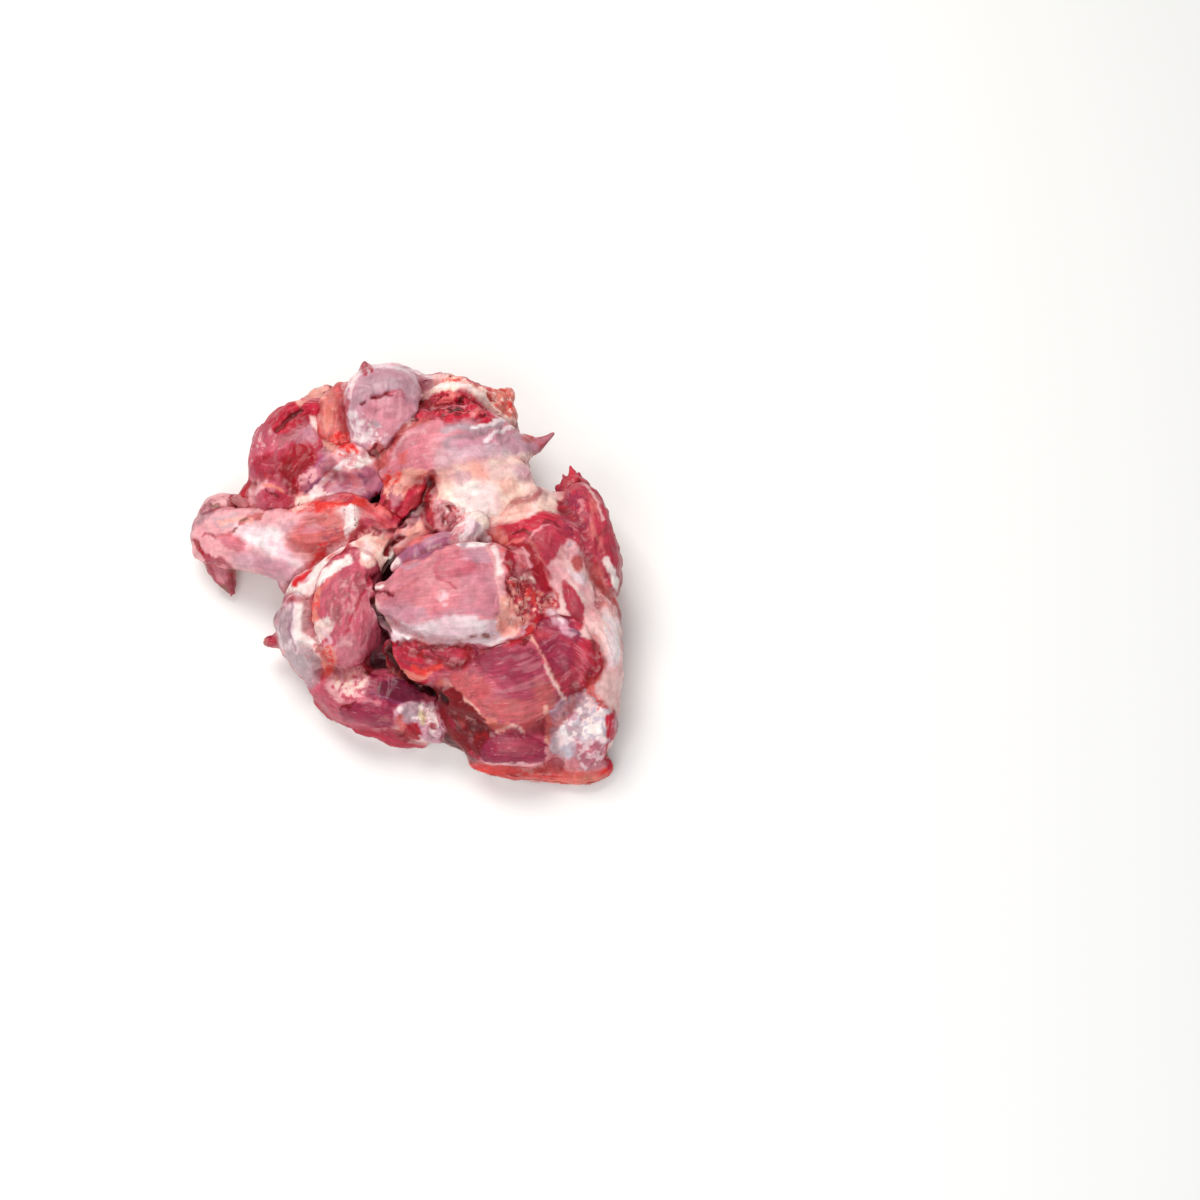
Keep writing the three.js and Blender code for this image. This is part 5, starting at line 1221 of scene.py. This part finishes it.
reliefFacts = {
    "lumps": ((17, 1.0), (8, 0.45), (3.6, 0.18)),  # size and height
    "lumpSeed": 30,
    "lumpShare": 0.7,
    "filmEvens": 0.6,
    "fibres": {"size": 3.2, "height": 0.22, "long": 9.0},  # bundles that show as ridges
    "folds": {"size": 9, "height": 0.7, "sharp": 4},  # along the film
    "hidden": ((6, 0.55, 45, (1, 1, 1)), (3.4, 0.3, 46, (1, 1, 0.6))),  # size, height, seed and stretch
    "crumbs": ((4.2, 1.0, 36), (2.4, 0.6, 37)),  # size, height and seed
    "contactHeight": 2.6,  # muscles swell by this much where they press on each other
    "contactReach": 9,
    "liftRounds": 2,
}
toneFacts = {
    "glossLight": 0.014,  # what the wet gloss adds to every colour
    "least": 0.35,
    "brightness": 0.96,
    "most": 0.95,
    "flush": (0.0, -0.10, -0.07),
}

joined = {key: np.concatenate(value) for key, value in samples.items()}
allMarks = [facts for piece in pieces[1:] + pieces[:1] for facts in piece["marks"].values()]


def treeOf(places):
    tree = KDTree(len(places))
    for i, place in enumerate(places):
        tree.insert(place, i)
    tree.balance()
    return tree


def nearestDepths():
    # How far the nearest surface is from the camera, in cells of a few pixels
    side = int(cameraFacts["photoWidth"] / sightFacts["cell"]) + 1
    nearest = np.full((side, side), 1e9)
    for piece in pieces:
        px, depth = pixelsOf(getPlaces(piece["object"].data))
        cell = np.clip((px / sightFacts["cell"]).astype(int), 0, side - 1)
        np.minimum.at(nearest, (cell[:, 0], cell[:, 1]), depth)
    return nearest


def readSkin(piece):
    mesh = piece["object"].data
    count = len(mesh.vertices)
    normals = np.empty(count * 3)
    mesh.vertex_normals.foreach_get("vector", normals)
    edges = np.empty(len(mesh.edges) * 2, int)
    mesh.edges.foreach_get("vertices", edges)
    links = np.maximum(np.bincount(edges, minlength=count), 1)
    return {"points": getPlaces(mesh), "normals": normals.reshape(-1, 3), "edges": edges.reshape(-1, 2),
            "links": links, "count": count}


def lookFromCamera(skin, nearest):
    # 1 where the camera sees the surface, 0 where something hides it or it faces away
    px, depth = pixelsOf(skin["points"])
    hidden = 0
    for offset in itertools.product((-1, 0, 1), repeat=2):  # blurs the steps between the cells
        cell = np.clip(((px + offset) / sightFacts["cell"]).astype(int), 0, nearest.shape[0] - 1)
        hidden = hidden + ramp(depth - nearest[cell[:, 0], cell[:, 1]], *sightFacts["hiddenBelow"]) / 9
    facing = skin["normals"] @ toCamera
    seen = (1 - hidden) * ramp(facing, *sightFacts["facing"])
    skin["seen"] = blurred(skin, seen, sightFacts["rounds"])
    skin["calm"] = ramp(facing, *sightFacts["calm"])
    skin["px"] = px


def followLobes(piece, skin):
    # Whose lobe each point belongs to, its fibre directions and tissue, and how near another piece is
    points, seed = skin["points"], piece["number"] + 3
    own = joined["piece"] == piece["number"]
    ownTree = treeOf(joined["place"][own])
    others = [getPlaces(other["object"].data) for other in pieces if other is not piece]
    otherTree = treeOf(np.concatenate(others)[::3])
    shift = np.stack([noise(points, borderFacts["size"], seed + k) for k in range(3)], 1) * borderFacts["shift"]
    found = np.array([ownTree.find(p)[1] for p in points + shift])
    sample = np.nonzero(own)[0][found]
    skin["toOther"] = np.array([otherTree.find(p)[2] for p in points])
    lobeOf = joined["lobe"][sample]
    grain, tint, kind = np.empty((3, skin["count"], 3))
    for i in np.unique(lobeOf):
        chosen = lobeOf == i
        facts = lobes[i]
        share = joined["share"][sample[chosen]]
        middle, along, side, top = spineFrame(facts["spine"], share)
        p = points[chosen]
        off = p - middle
        if "grain" in facts:
            turn = math.radians(facts["grain"])
            run = np.array([math.cos(turn), math.sin(turn), 0])
            rise = np.array([-math.sin(turn), math.cos(turn), 0])
            grain[chosen] = np.stack([p @ run, p @ rise, p[:, 2]], 1)
        else:
            grain[chosen] = np.stack([(off * along).sum(1) + share * facts["length"],
                                      (off * side).sum(1), (off * top).sum(1)], 1)
        grain[chosen] += i * borderFacts["apart"]
        tint[chosen] = tissueColour[facts["skin"]]
        kind[chosen] = tissueKind[facts["skin"]]
    skin["grain"] = grain
    skin["tint"] = blurred(skin, tint, borderFacts["rounds"])
    skin["kind"] = blurred(skin, kind, borderFacts["rounds"])


def colourHidden(skin):
    # The fat cap on the underside and the hidden sides; film, lean and fat streaks above it
    points, normals, tint = skin["points"], skin["normals"], skin["tint"]
    unseen = 1 - skin["seen"]
    edge = capFacts["top"] + sum(w["height"] * noise(points, w["size"], w["seed"]) for w in capFacts["waves"])
    upright, fade = capFacts["upright"]
    cap = ramp(edge - points[:, 2], 0, capFacts["fade"]) * ramp(upright - normals[:, 2], 0, fade) * unseen
    capTint = tissueColour[capFacts["base"]] * np.ones((skin["count"], 1))
    for layer in capFacts["layers"]:
        blendTo(capTint, patches(points, layer), tissueColour[layer["is"]])
    tint += (capTint - tint) * cap[:, None]
    blendTo(skin["kind"], cap, tissueKind[capFacts["base"]])
    bare = unseen * (1 - cap)
    long = skin["grain"] * np.array(hiddenFacts["along"])
    shown = {
        "film": patches(points, hiddenFacts["film"]),
        "lean": patches(long, hiddenFacts["lean"]),
        "fat": patches(long, hiddenFacts["fat"]) * patches(points, hiddenFacts["fatPlaces"]),
    }
    for name, weight in shown.items():
        blendTo(tint, weight * bare, tissueColour[hiddenFacts[name]["is"]])
    skin["cap"], skin["long"], skin["unseen"] = cap, long, unseen


def addMarks(skin):
    # The marks that the photograph shows, each by its own tissue
    points, grain, seen = skin["points"], skin["grain"], skin["seen"]
    wander = np.stack([noise(points, 7, seed) + 0.8 * noise(points, 2.6, seed + 1) for seed in (11, 13)], 1)
    px = skin["px"] + wander * markFacts["wander"] * skin["calm"][:, None]
    fray = noise(grain / np.array([5.0, 1.0, 1.0]), 1.9, 27) + 0.7 * noise(points, 3.4, 28)
    fray *= markFacts["feather"] * skin["calm"]
    lift, crumb = np.zeros((2, skin["count"]))
    for seed, facts in enumerate(allMarks, markFacts["firstSeed"]):
        corners = np.array(facts["at"], float)
        reach = facts.get("width", 0) / 2 + markFacts["margin"]
        inReach = (px > corners.min(0) - reach) & (px < corners.max(0) + reach)
        near = np.nonzero(inReach.all(1) & (seen > 0.02))[0]
        if not len(near):
            continue
        weight = markWeight(facts, px[near], fray[near]) * seen[near] * facts.get("share", 1)
        lift[near] += weight * facts.get("lift", 0)
        crumb[near] = np.maximum(crumb[near], weight * facts.get("crumb", 0))
        if "cover" in facts:
            grit = facts.get("grit", markFacts["grit"])
            place = grain[near] / facts.get("stretch", (1, 1, 1))
            pattern = 0.75 * noise(place, grit, seed) + 0.4 * noise(place, grit * 0.45, seed + 1)
            limit = 0.75 - 1.5 * facts["cover"]
            weight = weight * ramp(pattern, limit - 0.25, limit + 0.25)
        for array, goal in ((skin["tint"], tissueColour), (skin["kind"], tissueKind)):
            array[near] += (goal[facts["is"]] - array[near]) * weight[:, None]
    skin["lift"], skin["crumb"] = blurred(skin, lift, reliefFacts["liftRounds"]), crumb


def shadeCreases(skin):
    # Painted shade darkens deep hollows and places where pieces touch, with web and blood in the creases; crests get
    # a painted highlight and are paler
    points, tint, toOther = skin["points"], skin["tint"], skin["toOther"]
    smooth = blurred(skin, points, creaseFacts["rounds"])
    hollow = ((smooth - points) * skin["normals"]).sum(1)
    near = np.maximum(ramp(hollow, *creaseFacts["near"]), 1 - ramp(toOther, *creaseFacts["contact"]))
    web = noise(points, 5.5, 24) + 0.5 * noise(points, 2.2, 25)
    for part in creaseFacts["web"]:
        weight = creaseFacts["webShare"] * near * ramp(part["sign"] * web, *part["step"]) * (1 - skin["cap"])
        blendTo(tint, weight, tissueColour[part["is"]])
    hollowShade = ramp(hollow, *creaseFacts["hollowShade"]) * creaseFacts["hollowShadeShare"]
    contactShade = 1 - ramp(toOther, *creaseFacts["contactShade"])
    contactShade = contactShade * (0.35 + 0.5 * ramp(noise(points, 11, 26), -0.2, 0.6))
    # painted shade: darker in deep hollows and where pieces touch
    tint *= 1 - np.maximum(hollowShade, contactShade)[:, None] * np.array(creaseFacts["darker"])
    # painted highlight: crests are paler
    crestHighlight = (ramp(-hollow, *creaseFacts["crest"]) * creaseFacts["crestHighlightShare"])[:, None]
    tint += (1 - tint) * crestHighlight * np.array(creaseFacts["paler"])
    # Slow colour changes within a tissue
    tint *= 1 + 0.10 * noise(points, 12, 21)[:, None] + 0.07 * noise(points, 4.5, 22)[:, None]
    tint *= 1 + noise(points, 8, 23)[:, None] * np.array(toneFacts["flush"])


def raiseRelief(piece, skin):
    # Lumps, the facets that the knife left, ridges of fibre, folds of film, and torn crumbs
    points, kind, facts = skin["points"], skin["kind"], reliefFacts
    fibre, fold = facts["fibres"], facts["folds"]
    lean, film = kind[:, 0], kind[:, 1]
    height = sum(high * noise(points, size, facts["lumpSeed"] + k) for k, (size, high) in enumerate(facts["lumps"]))
    bundles = skin["grain"] / np.array([fibre["long"], 1.0, 1.0])
    ridges = fibre["height"] * noise(bundles, fibre["size"], 35) * lean
    height = height * facts["lumpShare"] * (1 - facts["filmEvens"] * film) + ridges
    height += facets(points, *piece["facets"], piece["number"] + 3)
    for size, high, seed, stretch in facts["hidden"]:
        height += skin["unseen"] * high * noise(points * np.array(stretch), size, seed)
    height += facts["contactHeight"] * (1 - ramp(skin["toOther"], 0, facts["contactReach"]))
    folds = 1 - np.abs(noise(skin["long"] + 5, fold["size"], 38)) * fold["sharp"]
    height += fold["height"] * ramp(folds, 0, 1) * ramp(noise(points, 25, 39), -0.1, 0.5) * film
    for size, high, seed in facts["crumbs"]:
        height += high * skin["crumb"] * noise(points, size, seed)
    moved = points + skin["normals"] * (height + skin["lift"])[:, None]
    moved[:, 2] = np.maximum(moved[:, 2], 0)
    setPlaces(piece["object"].data, moved)


def storeLook(piece, skin):
    # What the material reads: the colour, the fibre directions, and how much is fibre, film and fat
    tint = np.maximum(skin["tint"] - toneFacts["glossLight"], skin["tint"] * toneFacts["least"])
    tint = np.clip(tint * toneFacts["brightness"], 0, toneFacts["most"])
    solid = np.ones((skin["count"], 1))
    attributes = piece["object"].data.attributes
    for name, values in (("tint", tint), ("kind", np.clip(skin["kind"], 0, 1))):
        rgba = np.concatenate([values, solid], 1)
        attributes.new(name, "FLOAT_COLOR", "POINT").data.foreach_set("color", rgba.ravel())
    attributes.new("grain", "FLOAT_VECTOR", "POINT").data.foreach_set("vector", skin["grain"].ravel())


nearest = nearestDepths()
for piece in pieces:
    skin = readSkin(piece)
    lookFromCamera(skin, nearest)
    followLobes(piece, skin)
    colourHidden(skin)
    addMarks(skin)
    shadeCreases(skin)
    raiseRelief(piece, skin)
    storeLook(piece, skin)
    print(piece["name"], "dressed")

# Raw pork muscle, fat and silverskin, cut with a knife and still wet: fine fibre in the lean,
# small soft lobules in the fat, a smooth film over the silverskin, and a thin wet gloss over all
meatFacts = {
    "roughness": {"lean": 0.44, "film": 0.3, "fat": 0.5},
    "alongGrain": {  # mm
        "fibres": {"width": 1.5, "length": 18, "detail": 2},
        "streaks": {"width": 1.3, "length": 7, "detail": 3},  # marbling
        "drawn": {"width": 2.6, "length": 20, "detail": 3},  # what the knife and the film leave
    },
    "allWays": {"mottle": 5, "grit": 1.1},  # mm
    "lobule": 2.6,  # fat lobules, drawn coarser than they are so that they show
    "shades": {  # pattern, then its range and what that range becomes
        "marbling": ("streaks", 0.62, 0.74, 0, 1),
        "fibre": ("fibres", 0.3, 0.7, 0.84, 1.14),
        "mottled": ("mottle", 0.3, 0.7, 0.87, 1.12),
        "gritty": ("grit", 0.3, 0.7, 0.94, 1.05),
        "streaked": ("drawn", 0.3, 0.7, 0.9, 1.08),
        "gaps": ("lobules", 0.45, 0.8, 0, 1),
        "dull": ("mottle", 0.3, 0.7, -0.06, 0.08),
    },
    "marbling": "#f2cfcb",
    "marblingShare": 0.26,
    "gapTint": (0.95, 0.68, 0.66, 1),
    "gapShare": 0.35,
    "bumps": {  # strength, and depth in mm
        "fibres": (0.55, 0.35),
        "lobules": (0.5, 0.5),
        "grit": (0.35, 0.35),
    },
    "shader": {
        "Subsurface_Weight": 0.12,
        "Subsurface_Radius": (1.0, 0.36, 0.26),
        "Subsurface_Scale": 3.5 * mm,  # how far light travels under the surface
        "Specular_IOR_Level": 0.24,
        "Coat_Weight": 0.13,
        "Coat_Roughness": 0.16,
    },
}


def addNode(tree, kind, settings=(), out=0, **links):
    # One node with its settings and its inputs, each a value or another node's output; gives back an output
    node = tree.nodes.new("ShaderNode" + kind)
    for name, value in dict(settings).items():
        setattr(node, name, value)
    for name, value in links.items():
        socket = node.inputs[int(name[1:])] if name[1:].isdigit() else node.inputs[name.replace("_", " ")]
        if isinstance(value, bpy.types.NodeSocket):
            tree.links.new(value, socket)
        else:
            socket.default_value = value
    return node.outputs[out] if len(node.outputs) else node


def rawMeat(facts):
    material = bpy.data.materials.new("rawPork")
    material.use_nodes = True
    tree = material.node_tree
    tree.nodes.clear()
    times, plus, minus = ({"operation": name} for name in ("MULTIPLY", "ADD", "SUBTRACT"))
    mixed, multiplied = ({"data_type": "RGBA", "blend_type": name} for name in ("MIX", "MULTIPLY"))
    tint = addNode(tree, "Attribute", {"attribute_name": "tint"}, "Color")
    kind = addNode(tree, "Attribute", {"attribute_name": "kind"}, "Color")
    grain = addNode(tree, "Attribute", {"attribute_name": "grain"}, "Vector")
    place = addNode(tree, "TexCoord", {}, "Object")
    lean, _, fat = addNode(tree, "SeparateColor", i0=kind).node.outputs
    notLean = addNode(tree, "Math", minus, i0=1.0, i1=lean)

    pattern = {}
    for name, size in facts["alongGrain"].items():
        across = 1 / size["width"]
        scaled = addNode(tree, "VectorMath", times, i0=grain, i1=(1 / size["length"], across, across))
        pattern[name] = addNode(tree, "TexNoise", Vector=scaled, Scale=1, Detail=size["detail"])
    for name, size in facts["allWays"].items():
        pattern[name] = addNode(tree, "TexNoise", Vector=place, Scale=1 / (size * mm), Detail=2)
    lobuleScale = 1 / (facts["lobule"] * mm)
    pattern["lobules"] = addNode(tree, "TexVoronoi", {"feature": "SMOOTH_F1"}, Vector=place, Scale=lobuleScale)
    shade = {}
    for name, (source, low, high, least, most) in facts["shades"].items():
        shade[name] = addNode(tree, "MapRange", i0=pattern[source], i1=low, i2=high, i3=least, i4=most)

    # Colour: marbling in the lean, then darker and paler fibres, and pinker gaps between lobules of fat
    marbled = addNode(tree, "Math", times, i0=lean, i1=facts["marblingShare"])
    marbled = addNode(tree, "Math", times, i0=shade["marbling"], i1=marbled)
    colour = addNode(tree, "Mix", mixed, 2, i0=marbled, i6=tint, i7=(*linear(facts["marbling"]), 1))
    fibre = addNode(tree, "Math", minus, i0=shade["fibre"], i1=1)
    fibre = addNode(tree, "Math", times, i0=fibre, i1=lean)
    total = addNode(tree, "Math", plus, i0=fibre, i1=1)
    for name in ("mottled", "gritty", "streaked"):
        total = addNode(tree, "Math", times, i0=total, i1=shade[name])
    grey = addNode(tree, "CombineColor", i0=total, i1=total, i2=total)
    colour = addNode(tree, "Mix", multiplied, 2, i0=1, i6=colour, i7=grey)
    gaps = addNode(tree, "Math", times, i0=fat, i1=facts["gapShare"])
    gaps = addNode(tree, "Math", times, i0=shade["gaps"], i1=gaps)
    gapColour = addNode(tree, "Mix", multiplied, 2, i0=1, i6=colour, i7=facts["gapTint"])
    colour = addNode(tree, "Mix", mixed, 2, i0=gaps, i6=colour, i7=gapColour)

    # Roughness: of lean or film, more where it is fat, and uneven
    rough = shade["dull"]
    shares = ((lean, facts["roughness"]["lean"]), (notLean, facts["roughness"]["film"]),
              (fat, facts["roughness"]["fat"] - facts["roughness"]["film"]))
    for share, value in shares:
        part = addNode(tree, "Math", times, i0=share, i1=value)
        rough = addNode(tree, "Math", plus, i0=rough, i1=part)

    # Bumps: fibres in the lean, round lobules in the fat, and grit over all
    roundness = addNode(tree, "Math", minus, i0=1, i1=pattern["lobules"])
    heights = {
        "fibres": addNode(tree, "Math", times, i0=pattern["fibres"], i1=lean),
        "lobules": addNode(tree, "Math", times, i0=roundness, i1=fat),
        "grit": pattern["grit"],
    }
    before = {}
    for name, (strength, depth) in facts["bumps"].items():
        bump = addNode(tree, "Bump", Strength=strength, Distance=depth * mm, Height=heights[name], **before)
        before = {"Normal": bump}
    shader = addNode(tree, "BsdfPrincipled", {"subsurface_method": "RANDOM_WALK"}, Base_Color=colour,
                     Roughness=rough, Normal=bump, **facts["shader"])
    output = addNode(tree, "OutputMaterial", Surface=shader)
    output.is_active_output = True
    return material


meat = rawMeat(meatFacts)
for piece in pieces:
    piece["object"].data.materials.clear()
    piece["object"].data.materials.append(meat)
    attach(piece["object"], "root")
    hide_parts("pork_shoulder")
print("meat finished")

studioFacts = {
    "floor": {"size": 6000, "drop": 0.3, "colour": "#f4f4f2", "roughness": 0.8},
    "sky": {"colour": "#f6f8fc", "strength": 0.5},
    "lamps": {
        "keyLamp": {"place": (-350, 700, 1400), "size": 900, "power": 17.5, "colour": "#fffbf6"},
        "fillLamp": {"place": (-250, -1100, 1150), "size": 1100, "power": 11.5, "colour": "#ffffff"},
    },
}


def setStudio(facts):
    bpy.ops.object.select_all(action="DESELECT")
    floor = facts["floor"]
    bpy.ops.mesh.primitive_plane_add(size=floor["size"] * mm, location=(0, 0, -floor["drop"] * mm))
    ground = bpy.context.object
    ground.name = "paleFloor"
    material = bpy.data.materials.new("paleFloorPaint")
    material.use_nodes = True
    shader = material.node_tree.nodes["Principled BSDF"]
    shader.inputs["Base Color"].default_value = (*linear(floor["colour"]), 1)
    shader.inputs["Roughness"].default_value = floor["roughness"]
    ground.data.materials.append(material)
    for name, lamp in facts["lamps"].items():
        bpy.ops.object.light_add(type="AREA", location=Vector(lamp["place"]) * mm)
        light = bpy.context.object
        light.name = name
        light.data.size = lamp["size"] * mm
        light.data.energy = lamp["power"]
        light.data.color = linear(lamp["colour"])
        light.rotation_mode = "QUATERNION"
        light.rotation_quaternion = Vector(lamp["place"]).to_track_quat("Z", "Y")
    world = bpy.data.worlds.new("paleSky")
    world.use_nodes = True
    background = world.node_tree.nodes["Background"]
    background.inputs["Color"].default_value = (*linear(facts["sky"]["colour"]), 1)
    background.inputs["Strength"].default_value = facts["sky"]["strength"]
    bpy.context.scene.world = world
    bpy.context.scene.view_settings.view_transform = "Standard"


setStudio(studioFacts)
print("studio set")
